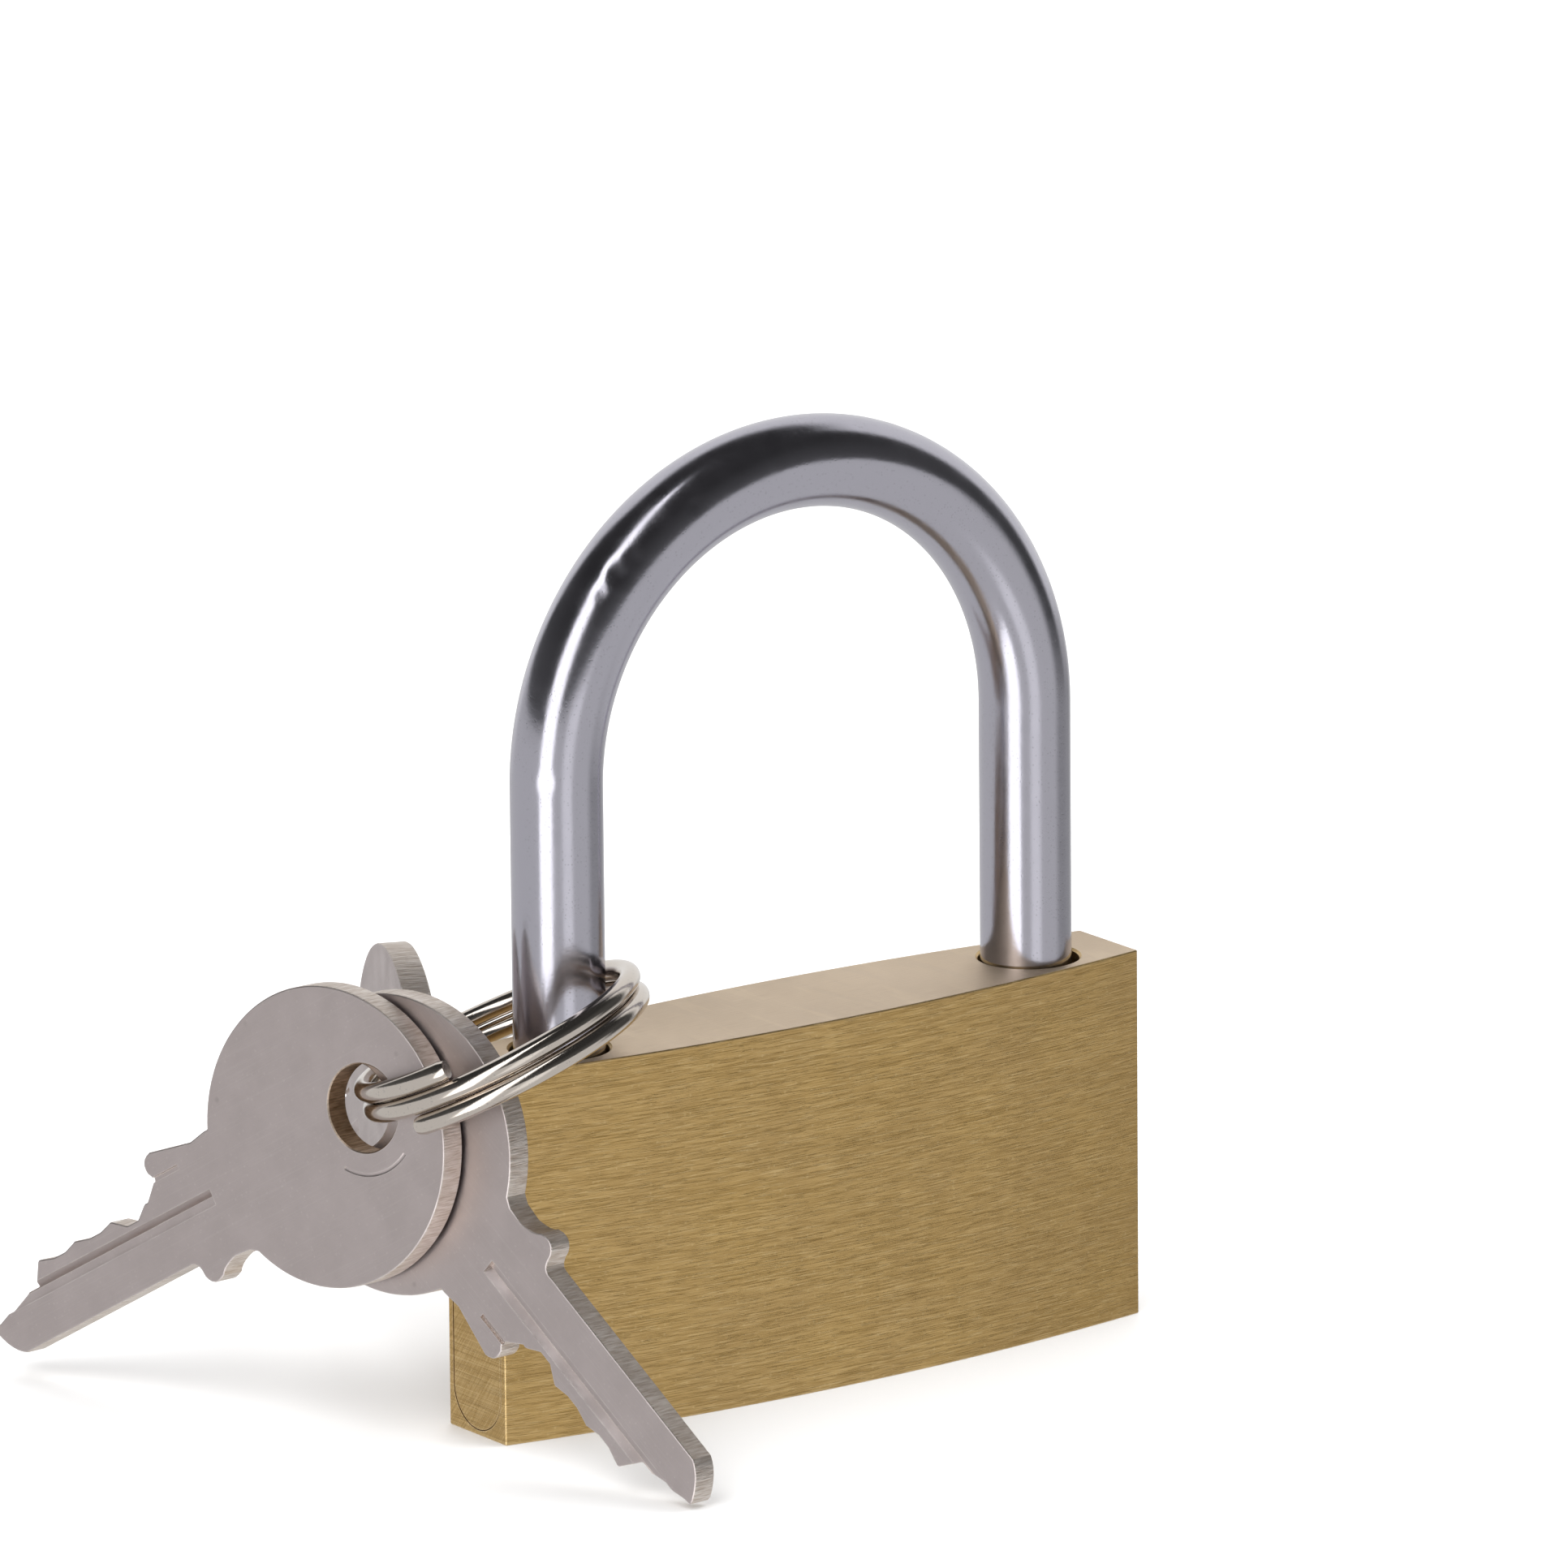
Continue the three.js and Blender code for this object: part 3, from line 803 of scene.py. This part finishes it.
BODY_BRASS = BrushedBrass("brushed brass", shade(0.72, 0.49, 0.2), 0.38)
COVER_BRASS = BrushedBrass("ground cover brass", shade(0.72, 0.5, 0.22), 0.38, stroke_length=4)
PIN_BRASS = BrushedBrass("ground pin brass", shade(0.72, 0.49, 0.2), 0.36, stroke_length=1)
CHROME = PolishedPlate("polished chrome", shade(0.5, 0.49, 0.55), 0.16, haze=0.12)
RING_NICKEL = PolishedPlate("polished nickel", shade(0.66, 0.6, 0.54), 0.12, haze=0.08)
KEY_NICKEL = SatinNickel("satin nickel", shade(0.6, 0.53, 0.52), 0.42)
PLUG_BRASS = PlainMetal("turned plug brass", shade(0.6, 0.43, 0.2), 0.32)
SPRING_STEEL = PlainMetal("drawn spring steel", shade(0.42, 0.42, 0.44), 0.3)
LATCH_STEEL = PlainMetal("turned latch steel", shade(0.5, 0.49, 0.48), 0.3)


class Slot(Enum):
    """The names of the record's material slots."""

    BODY = "satin_brass"
    COVER = "cover_brass"
    PLUG = "plug_brass"
    PIN = "pin_brass"
    CHROME = "chromed_steel"
    KEY = "key_nickel"
    RING = "ring_nickel"


def fit(piece: bpy.types.Object, node: str, finish: Finish) -> None:
    """Dresses a finished piece and puts it in a CAD node's stead, on that node's body.

    Args:
        piece: The finished piece.
        node: The CAD node that it stands for.
        finish: What it is dressed in.
    """
    piece.data.materials.clear()
    piece.data.materials.append(finish.material())
    body = next(name for name, nodes in frame["record"]["behaviour"]["bodies"].items() if node in nodes)
    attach(piece, body)
    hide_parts(node)
    log.info("%s: %d faces, rides on %s", piece.name, len(piece.data.polygons), body)


def dress(node: str, finish: Finish) -> None:
    """Gives a CAD node that stays a better material.

    Args:
        node: The CAD node.
        finish: What it is dressed in.
    """
    piece = frame["nodes"][node]
    piece.data.materials.clear()
    piece.data.materials.append(finish.material())
    log.info("%s: stays as it is, in %s", node, finish.name)


# ---- the sub-assemblies


@dataclass
class LockBody:
    """The brass block with its bores, the strip over its chambers and the heel's retaining pin."""

    width: float = 60
    depth_middle: float = 12.6
    depth_ends: float = 7.5
    edge: float = 0.12
    leg_x: float = 22
    heel_offset: float = 0.25
    heel_bore: float = 3.95
    heel_floor: float = 3
    countersink: float = 0.18
    toe_bore: float = 3.85
    toe_floor: float = 17.3
    plug_bore: float = 5.12
    plug_top: float = 20.8
    plug_countersink: float = 0.15
    latch_height: float = 24
    latch_bore: float = 3
    latch_end: float = 9.4
    latch_wall: float = 1.2
    cam_room: float = 3.35
    cam_room_floor: float = 20.5
    chamber_bore: float = 1.4
    chamber_wall: float = 0.5
    chamber_end: float = -2
    cover_width: float = 6.2
    cover_depth: float = 1.2
    cover_low: float = 0.45
    cover_gap: float = 0.06
    pin_height: float = 23.4
    pin_radius: float = 1
    pin_play: float = 0.05
    pin_tip: float = 24.9

    def plan(self) -> list[Point]:
        """The outline from above: two shallow arcs between flat ends."""
        half, bulge = self.width / 2, (self.depth_middle - self.depth_ends) / 2
        radius = (half * half + bulge * bulge) / (2 * bulge)
        centre = radius - self.depth_middle / 2
        sweep = math.degrees(math.asin(half / radius))
        front = arc((0, centre), radius, -90 - sweep, -90 + sweep, 64)
        return front + arc((0, -centre), radius, 90 - sweep, 90 + sweep, 64)

    def strip(self, name: str, margin: float, start: float, end: float) -> Workpiece:
        """A plate with the cover strip's outline, standing across X.

        Args:
            name: The name of the piece.
            margin: How far the outline is grown.
            start: The plate's lower X.
            end: The plate's higher X.

        Returns:
            The new workpiece.
        """
        radius = self.cover_width / 2
        low = self.cover_low + radius
        outline = arc((0, self.latch_height), radius + margin, 0, 180, 24)
        outline += arc((0, low), radius + margin, 180, 360, 24)
        return Workpiece.prism(name, outline, start, end).moved(UPRIGHT)

    def bores(self) -> list[Workpiece]:
        """The cutters for every bore and for the cover's seat."""
        end = self.width / 2
        side = lay("X")
        heel = Matrix.Translation((self.leg_x + self.heel_offset, 0, 0))
        toe = Matrix.Translation((-self.leg_x, 0, 0))
        latch = Matrix.Translation((0, 0, self.latch_height)) @ side
        heel_pin = Matrix.Translation((0, 0, self.pin_height)) @ side
        turned_over = Matrix.Rotation(math.pi, 4, "X")
        cutters = [
            drilled(self.heel_bore, self.heel_floor, LAND, self.countersink, FINE).moved(heel),
            drilled(self.toe_bore, self.toe_floor, LAND, self.countersink, FINE).moved(toe),
            drilled(self.plug_bore, -self.plug_top, 0, self.plug_countersink, FINE).moved(turned_over),
            drilled(self.cam_room, self.cam_room_floor, self.latch_height),
            drilled(self.latch_bore, self.latch_wall - end, self.latch_end).moved(latch),
            drilled(self.pin_radius + self.pin_play, self.leg_x, end + 1).moved(heel_pin),
            self.strip("seat", self.cover_gap, -end - 1, self.cover_depth + self.cover_gap - end),
        ]
        for height in CHAMBERS:
            place = Matrix.Translation((0, 0, height)) @ side
            drill = drilled(self.chamber_bore, self.chamber_wall - end, self.chamber_end, sides=COARSE)
            cutters.append(drill.moved(place))
        return cutters

    def build(self) -> None:
        """Makes and dresses the block, the strip and the pin."""
        block = Workpiece.prism("brass_body", self.plan(), 0, LAND).bevelled(self.edge, 3)
        fit(block.cut(*self.bores()).settled(), "body", BODY_BRASS)
        end = self.width / 2
        strip = self.strip("cover_strip", 0, -end, self.cover_depth - end).bevelled(0.07)
        fit(strip.settled(), "chamber_cover", COVER_BRASS)
        profile = [(0.8, self.pin_tip), (self.pin_radius, self.pin_tip + 0.2)]
        profile += [(self.pin_radius, end - 0.13), (self.pin_radius - 0.08, end - 0.05)]
        across = Matrix.Translation((0, 0, self.pin_height)) @ lay("X")
        pin = Workpiece.turned("heel_pin", profile, 48).moved(across)
        fit(pin.settled(), "heel_retaining_pin", PIN_BRASS)


@dataclass(frozen=True)
class Dent:
    """A small knock in the shackle's rod: where it is and how deep, in degrees and millimetres."""

    along: float
    around: float
    reach: float
    depth: float


@dataclass
class Shackle:
    """The chromed rod: a long heel leg with a neck and collar, a bow and a notched toe leg."""

    leg_x: float = 22
    radius: float = 3.55
    spring_line: float = 49.8
    toe_tip: float = 17.8
    tip_chamfer: float = 0.7
    chamfer: float = 0.3
    heel_tip: float = 7
    collar_top: float = 9
    neck_radius: float = 2.45
    neck_top: float = 24.7
    notch_depth: float = 2.2
    notch_low: float = 20.9
    notch_high: float = 27.1
    sides: int = 72
    bow_steps: int = 200
    dents: tuple[Dent, ...] = (
        Dent(137, -48, 1.3, 0.12),
        Dent(133.5, -54, 0.9, 0.1),
        Dent(142, -44, 0.8, 0.07),
        Dent(118, -60, 0.9, 0.08),
        Dent(177.5, -43, 1.0, 0.07),
    )

    def leg_ring(self, side: float, height: float, radius: float) -> Ring:
        """A ring round the toe leg, on side -1, or the heel leg, on side 1."""
        centre = Vector((side * self.leg_x, 0, height))
        return circle(centre, Vector((side, 0, 0)), Vector((0, 1, 0)), radius, self.sides)

    def bow_ring(self, angle: float) -> Ring:
        """A ring round the bow, with the dents pressed in.

        Args:
            angle: The angle from +X, in degrees.

        Returns:
            The ring's points.
        """
        turn = math.radians(angle)
        outward = Vector((math.cos(turn), 0, math.sin(turn)))
        centre = Vector((0, 0, self.spring_line)) + self.leg_x * outward
        back = Vector((0, 1, 0))
        made = []
        for side in range(self.sides):
            around = 2 * math.pi * side / self.sides
            radius = self.radius - self.pressed(angle, math.degrees(around))
            made.append(centre + radius * (math.cos(around) * outward + math.sin(around) * back))
        return made

    def pressed(self, along: float, around: float) -> float:
        """How deep the surface is pressed in at a place on the bow.

        Args:
            along: The angle along the bow, in degrees.
            around: The angle round the rod, in degrees.

        Returns:
            The depth.
        """
        depth = 0.0
        for dent in self.dents:
            turn = (around - dent.around + 180) % 360 - 180
            apart = math.hypot(
                math.radians(along - dent.along) * self.leg_x, math.radians(turn) * self.radius
            )
            if apart < dent.reach:
                depth += dent.depth * (1 - (apart / dent.reach) ** 2) ** 2
        return depth

    def build(self) -> None:
        """Sweeps the rod from the toe's tip to the heel's, cuts the notch and dresses it."""
        small = self.chamfer
        toe = [(self.toe_tip, self.radius - self.tip_chamfer)]
        toe += [(self.toe_tip + self.tip_chamfer, self.radius), (LAND, self.radius)]
        heel = [(LAND, self.radius), (self.neck_top + small, self.radius)]
        heel += [(self.neck_top, self.radius - small), (self.neck_top, self.neck_radius)]
        heel += [(self.collar_top, self.neck_radius), (self.collar_top, self.radius)]
        heel += [(self.heel_tip + small, self.radius), (self.heel_tip, self.radius - small)]
        rings = [self.leg_ring(-1, *step) for step in toe]
        rings += [self.bow_ring(180 - 180 * i / self.bow_steps) for i in range(self.bow_steps + 1)]
        rings += [self.leg_ring(1, *step) for step in heel]
        inner = self.radius - self.leg_x
        low = (inner - self.notch_depth, -self.radius - 1, self.notch_low)
        notch = Workpiece.block("notch", low, (inner + 1, self.radius + 1, self.notch_high))
        rod = Workpiece.lofted("shackle_rod", rings).cut(notch)
        fit(rod.settled(), "shackle", CHROME)


@dataclass
class Cylinder:
    """The plug that turns with the key, its pins and springs."""

    radius: float = 5
    lip: float = 0.25
    length: float = 20.5
    groove_height: float = 18.6
    groove_width: float = 2
    groove_depth: float = 0.9
    keyway_half: float = 1.25
    keyway_low: float = -3.175
    keyway_high: float = 3.175
    keyway_top: float = 17.8
    ward_reach: float = 0.4
    ward_low: float = 0.425
    ward_high: float = 1.425
    cam_offset: float = 2.2
    cam_radius: float = 0.95
    cam_low: float = 17.8
    pin_hole: float = 1.35

    def keyway(self) -> Workpiece:
        """The cutter for the keyway, with the ward that fits the key's groove."""
        low = (-self.keyway_half, self.keyway_low, -1)
        slot = Workpiece.block("keyway", low, (self.keyway_half, self.keyway_high, self.keyway_top))
        reach = self.ward_reach - self.keyway_half
        ward_low = (-self.keyway_half - 0.5, self.ward_low, -2)
        return slot.cut(Workpiece.block("ward", ward_low, (reach, self.ward_high, self.keyway_top + 1)))

    def build(self) -> None:
        """Makes and dresses the plug, and dresses what stays hidden inside."""
        low = self.groove_height - self.groove_width / 2
        high = self.groove_height + self.groove_width / 2
        waist = self.radius - self.groove_depth
        profile = [(self.radius - self.lip, 0), (self.radius, self.lip), (self.radius, low)]
        profile += [(waist, low), (waist, high), (self.radius, high), (self.radius, self.length)]
        cam = self.cam_offset * math.sqrt(0.5)
        cam_drill = drilled(self.cam_radius, self.cam_low, self.length + 1)
        cutters = [self.keyway(), cam_drill.moved(Matrix.Translation((cam, cam, 0)))]
        for height in CHAMBERS:
            place = Matrix.Translation((0, 0, height)) @ lay("Y")
            cutters.append(drilled(self.pin_hole, 0, self.radius + 1, sides=COARSE).moved(place))
        barrel = Workpiece.turned("plug_barrel", profile, FINE).cut(*cutters)
        fit(barrel.settled(), "plug", PLUG_BRASS)
        for number in range(1, len(CHAMBERS) + 1):
            dress(f"key_pin_{number}", PLUG_BRASS)
            dress(f"driver_pin_{number}", LATCH_STEEL)
            dress(f"pin_spring_{number}", SPRING_STEEL)
        dress("cam_pin", SPRING_STEEL)
        dress("plug_retaining_pin", SPRING_STEEL)


@dataclass
class LatchWork:
    """The latch bolt and the two springs beside it, all inside the body."""

    steel: tuple[str, ...] = ("latch_bolt",)
    springs: tuple[str, ...] = ("latch_spring", "shackle_spring")

    def build(self) -> None:
        """Dresses the bolt and the springs."""
        for node in self.steel:
            dress(node, LATCH_STEEL)
        for node in self.springs:
            dress(node, SPRING_STEEL)


@dataclass(frozen=True)
class Hanging:
    """Where a key hangs: its bow's centre, the way its blade points and the way its open face looks."""

    node: str
    bow: tuple[float, float, float]
    blade: tuple[float, float, float]
    face: tuple[float, float, float]

    def place(self) -> Matrix:
        """Takes the key's own metres to the frame."""
        face = Vector(self.face).normalized()
        blade = Vector(self.blade)
        blade = (blade - blade.dot(face) * face).normalized()
        cut_side = (-face).cross(blade)
        turn = Matrix((blade, cut_side, -face)).transposed().to_4x4()
        return Matrix.Translation(TO_FRAME @ Vector(self.bow)) @ turn


@dataclass
class Keys:
    """Three stamped keys cut alike: round bow, two shoulders, a grooved blade with four cuts."""

    thickness: float = 2.2
    bow: float = 11.6
    hole: float = 3.4
    hole_x: float = -4.5
    hole_y: float = 0.6
    spine: float = -3.95
    crest: float = 2.0
    shoulder_x: float = 17.4
    tip_x: float = 37.7
    cuts: tuple[float, ...] = (1.1, 1.65, 1.6, 0.2)
    groove: float = 1.3
    groove_depth: float = 0.55
    groove_start: float = 12.5
    groove_flat: float = 0.2
    rim: float = 0.14
    arc_radius: float = 5.1
    arc_angles: tuple[float, float] = (-115, -42)
    arc_tool: float = 0.27
    arc_lift: float = 0.22
    hanging: tuple[Hanging, ...] = (
        Hanging("key_front", (-38.1, 6.98, 23.54), (-0.288, 0.81, -0.509), (-0.954, -0.288, 0.082)),
        Hanging("key_middle", (-34.28, 3.46, 23.11), (0.167, -0.763, -0.624), (-0.96, -0.27, 0.073)),
        Hanging("key_back", (-27.29, 13.74, 23.53), (0.343, 0.828, -0.443), (-0.924, 0.383, 0)),
    )

    def bitting(self) -> list[Point]:
        """The cuts from the tip to the shoulder: each a short flat between two slopes."""
        made: list[Point] = []
        for index in reversed(range(len(self.cuts))):
            x, depth = self.shoulder_x + CHAMBERS[index], self.cuts[index]
            made += [(x + 0.6, depth), (x - 0.6, depth)]
            following = self.cuts[index - 1] if index else self.crest + 0.4
            lift = min(self.crest, max(depth, following) + 0.45)
            made += [(x - 1.7, lift - 0.08), (x - 1.9, lift), (x - 2.1, lift - 0.06)]
        return made

    def outline(self) -> list[Point]:
        """The key's outline, from the upper shoulder round the bow to the tip and back."""
        upper = math.degrees(math.asin(4.8 / self.bow))
        lower = math.degrees(math.asin(5.4 / self.bow))
        made = arc((0, 0), self.bow, upper, 360 - lower, 120)
        made += [(11, -5), (12.5, -4.9)]
        made += bend((12.5, -4.9), (13.9, -5.2), (14.3, -5.8))
        made += bend((14.3, -5.8), (15.6, -6.4), (16.1, -5.2))
        made += bend((16.1, -5.2), (16.2, self.spine), (16.9, self.spine), 4)
        made.append((35.6, self.spine))
        made += bend((35.6, self.spine), (36.9, -3.4), (self.tip_x, -1.5))
        made += [(self.tip_x, -1.1), (37, -1)]
        made += self.bitting()
        made.append((17.5, 3.1))
        made += bend((17.5, 3.1), (17.2, 3.4), (17.7, 3.9), 4)
        made += bend((17.7, 3.9), (18, 5.1), (16.8, 5.35))
        return made + [(12.6, 4.55), (11, 4.8)]

    def hole_cutter(self) -> Workpiece:
        """The cutter for the ring's hole, a little wider at both faces."""
        half, flare = self.thickness / 2, 0.1
        wide = self.hole + flare + 1
        profile = [(wide, -half - 1), (self.hole, flare - half)]
        profile += [(self.hole, half - flare), (wide, half + 1)]
        place = Matrix.Translation((self.hole_x, self.hole_y, 0))
        return Workpiece.turned("hole", profile, 72).moved(place)

    def pressed_arc(self) -> Workpiece:
        """The cutter for the shallow arc pressed beside the hole on the open face."""
        rings = []
        centre = Vector((self.hole_x, self.hole_y, -self.thickness / 2 - self.arc_lift))
        for x, y in arc((0, 0), 1, *self.arc_angles, 28):
            out = Vector((x, y, 0))
            rings.append(circle(centre + self.arc_radius * out, out, Vector((0, 0, 1)), self.arc_tool, 40))
        return Workpiece.lofted("pressed arc", rings)

    def build(self) -> None:
        """Makes the key once and hangs its three copies."""
        half = self.thickness / 2
        blank = Workpiece.prism("key", self.outline(), -half, half).bevelled(self.rim, 2, 30)
        wide, floor = self.groove / 2, self.groove_depth - half
        section = [(-wide, -self.thickness), (wide, -self.thickness), (wide, -half)]
        section += [(self.groove_flat * wide, floor), (-wide, floor)]
        groove = Workpiece.prism("groove", section, self.groove_start, self.tip_x + 1).moved(UPRIGHT)
        tab_low = (14.6, 3.1, -self.thickness)
        tab = Workpiece.block("tab groove", tab_low, (18.4, 3.5, 0.25 - half))
        blank.cut(self.hole_cutter(), groove, tab, self.pressed_arc())
        pattern = blank.settled(Matrix.Scale(MM, 4), 20)
        self.remember(pattern.data)
        for hanging in self.hanging:
            mesh = pattern.data.copy()
            mesh.transform(hanging.place())
            key = bpy.data.objects.new(f"{hanging.node}_blank", mesh)
            bpy.context.scene.collection.objects.link(key)
            fit(key, hanging.node, KEY_NICKEL)
        bpy.data.objects.remove(pattern)

    def remember(self, mesh: bpy.types.Mesh) -> None:
        """Stores each point's place on the key and which faces are its sheared rim.

        Args:
            mesh: The key's mesh before it is hung.
        """
        places = mesh.attributes.new(OWN_PLACE, "FLOAT_VECTOR", "POINT")
        for index, vertex in enumerate(mesh.vertices):
            places.data[index].vector = vertex.co
        rims = mesh.attributes.new(RIM, "FLOAT", "FACE")
        for index, face in enumerate(mesh.polygons):
            rims.data[index].value = float(abs(face.normal.z) < 0.5)


@dataclass
class SplitRing:
    """The double coil that the keys hang on, with flat cut ends."""

    radius: float = 10.97
    wire: float = 0.8
    pitch: float = 1.66
    turns: float = 2 + 24 / 360
    start: float = 195
    centre: tuple[float, float, float] = (-27.6, -0.5, 30.6)
    normal: tuple[float, float, float] = (-0.299, 0.306, 0.905)
    steps: int = 300
    end_chamfer: float = 0.1

    def build(self) -> None:
        """Sweeps the wire along its helix and dresses it."""
        normal = Vector(self.normal).normalized()
        across = Vector((0, 1, 0)).cross(normal).normalized()
        along = normal.cross(across)
        rings = []
        for step in range(self.steps + 1):
            share = step / self.steps
            turn = math.radians(self.start + 360 * self.turns * share)
            out = math.cos(turn) * across + math.sin(turn) * along
            rise = self.pitch * self.turns * (share - 0.5)
            middle = Vector(self.centre) + self.radius * out + rise * normal
            radius = self.wire - (self.end_chamfer if step in (0, self.steps) else 0)
            rings.append(circle(middle, out, normal, radius, COARSE))
        coil = Workpiece.lofted("ring_coil", rings)
        fit(coil.settled(crease=50), "split_ring", RING_NICKEL)


# ---- the studio


@dataclass(frozen=True)
class Panel:
    """A soft light: where it stands round the object, how wide, tall and strong it is."""

    name: str
    azimuth: float
    elevation: float
    distance: float
    width: float
    height: float
    power: float


@dataclass(frozen=True)
class Glow:
    """A patch of the surroundings that shows in reflections: its place in degrees and its brightness."""

    azimuth: float
    half_width: float
    low: float
    high: float
    strength: float
    softness: float = 8

    def over(self, graph: Graph, way: Socket, behind: Any) -> Socket:
        """Lays the patch over what is behind it.

        Args:
            graph: The sky's graph.
            way: The direction looked in.
            behind: The brightness without the patch.

        Returns:
            The brightness with the patch.
        """
        level = graph.vector("NORMALIZE", graph.vector("MULTIPLY", way, (1, 1, 0)))
        middle = tuple(toward(self.azimuth, 0))
        beside = graph.measure("DOT_PRODUCT", level, middle)
        edge, rim = (math.cos(math.radians(self.half_width + more)) for more in (0, self.softness))
        across = graph.remap(beside, rim, edge)
        height = graph.part(way, 2)
        above = graph.remap(height, self.sine(self.low - self.softness), self.sine(self.low))
        below = graph.remap(height, self.sine(self.high + self.softness), self.sine(self.high))
        cover = graph.times(across, graph.times(above, below))
        return graph.mixed(cover, behind, self.strength)

    @staticmethod
    def sine(angle: float) -> float:
        """The sine of an angle in degrees, kept within a quarter turn."""
        return math.sin(math.radians(max(-90, min(90, angle))))


def toward(azimuth: float, elevation: float) -> Vector:
    """The unit vector from the object to a place, with azimuth 0 in front and 90 at the heel's side."""
    turn, lift = math.radians(azimuth), math.radians(elevation)
    return Vector((math.sin(turn) * math.cos(lift), -math.cos(turn) * math.cos(lift), math.sin(lift)))


@dataclass
class Studio:
    """The pale floor, the lights and the camera."""

    aim: tuple[float, float, float] = (-0.00068, 0.01116, 0.0057)
    azimuth: float = -35.42
    elevation: float = 14.45
    roll: float = -0.515
    distance: float = 1.3457
    lens: float = 403
    floor_size: float = 4
    room_light: float = 0.8
    table: float = 0.68
    room_low: float = 0.1
    room_high: float = 0.03
    wall_heights: tuple[float, float] = (0.1, 0.7)
    table_edge: tuple[float, float] = (0.06, 0.11)
    floor_grey: float = 0.86
    film_width: float = 36
    panels: tuple[Panel, ...] = (
        Panel("left softbox", -75, 50, 0.9, 0.7, 0.7, 5),
        Panel("right softbox", 60, 45, 1.0, 0.7, 0.8, 5),
        Panel("back softbox", 160, 50, 1.1, 0.8, 0.6, 4),
    )
    glows: tuple[Glow, ...] = (
        Glow(75, 20, -90, 5, 0.42, 45),
        Glow(85, 25, -7, 14, 0.07, 14),
        Glow(139, 47, -4, 44, 0.9, 10),
        Glow(-145, 35, -90, 0, 0.56, 10),
        Glow(-62, 12, -40, 84, 2.3, 5),
        Glow(-9, 8, -40, -2, 1.1, 8),
    )

    def light(self) -> None:
        """Sets up the soft lights."""
        for panel in self.panels:
            lamp = bpy.data.lights.new(panel.name, "AREA")
            lamp.shape = "RECTANGLE"
            lamp.size, lamp.size_y = panel.width, panel.height
            lamp.energy = panel.power
            way = toward(panel.azimuth, panel.elevation)
            box = bpy.data.objects.new(panel.name, lamp)
            box.visible_glossy = False
            box.location = way * panel.distance
            box.rotation_euler = way.to_track_quat("Z", "Y").to_euler()
            bpy.context.scene.collection.objects.link(box)

    def paint(self, name: str, grey: float) -> bpy.types.Material:
        """A matt paint of one grey.

        Args:
            name: The name of the paint.
            grey: Its linear brightness.

        Returns:
            The new material.
        """
        made = bpy.data.materials.new(name)
        made.use_nodes = True
        shader = made.node_tree.nodes["Principled BSDF"]
        shader.inputs["Base Color"].default_value = shade(grey, grey, grey)
        shader.inputs["Roughness"].default_value = 0.9
        shader.inputs["Specular IOR Level"].default_value = 0.1
        return made

    def sky(self) -> None:
        """A plain room light, and the table, dark room and light strips that the metal mirrors."""
        world = bpy.data.worlds.new("studio")
        world.use_nodes = True
        bpy.context.scene.world = world
        graph = Graph(world.node_tree)
        way = graph.add("ShaderNodeTexCoord").outputs["Generated"]
        height = graph.part(way, 2)
        room = graph.remap(height, *self.wall_heights, self.room_low, self.room_high)
        edge = graph.remap(height, *self.table_edge)
        mirrored = graph.mixed(edge, self.table, room)
        for glow in self.glows:
            mirrored = glow.over(graph, way, mirrored)
        glossy = graph.add("ShaderNodeLightPath").outputs["Is Glossy Ray"]
        strength = graph.mixed(glossy, self.room_light, mirrored)
        back = world.node_tree.nodes["Background"]
        world.node_tree.links.new(strength, back.inputs["Strength"])
        back.inputs["Color"].default_value = shade(1, 1, 1)

    def build(self) -> None:
        """Makes the floor, the lights, the sky and the camera."""
        size = self.floor_size
        mesh = bpy.data.meshes.new("floor")
        corners = [(-size, -size, BASE), (size, -size, BASE), (size, size, BASE), (-size, size, BASE)]
        mesh.from_pydata(corners, [], [(0, 1, 2, 3)])
        floor = bpy.data.objects.new("floor", mesh)
        floor.data.materials.append(self.paint("pale floor", self.floor_grey))
        floor.visible_glossy = False
        bpy.context.scene.collection.objects.link(floor)
        self.light()
        self.sky()
        self.camera()

    def camera(self) -> None:
        """Stands the camera where it looks at the front and the toe end from a little above."""
        back = toward(self.azimuth, self.elevation)
        right = Vector((0, 0, 1)).cross(back).normalized()
        up = back.cross(right)
        shift_x, shift_y, height = self.aim
        turn = Matrix((right, up, back)).transposed().to_4x4()
        lens = bpy.data.cameras.new("camera")
        lens.lens = self.lens
        lens.sensor_width = self.film_width
        eye = bpy.data.objects.new("camera", lens)
        place = Vector((0, 0, height)) + self.distance * back + shift_x * right + shift_y * up
        roll = Matrix.Rotation(math.radians(self.roll), 4, "Z")
        eye.matrix_world = Matrix.Translation(place) @ turn @ roll
        bpy.context.scene.collection.objects.link(eye)
        bpy.context.scene.camera = eye
        bpy.context.scene.view_settings.view_transform = "Standard"


def main() -> None:
    """Builds the sub-assemblies in order, then the studio."""
    logging.basicConfig(level=logging.INFO, format="%(message)s")
    for maker in (LockBody(), Shackle(), Cylinder(), LatchWork(), Keys(), SplitRing()):
        log.info("building %s", type(maker).__name__)
        maker.build()
    Studio().build()


if __name__ == "__main__":
    main()
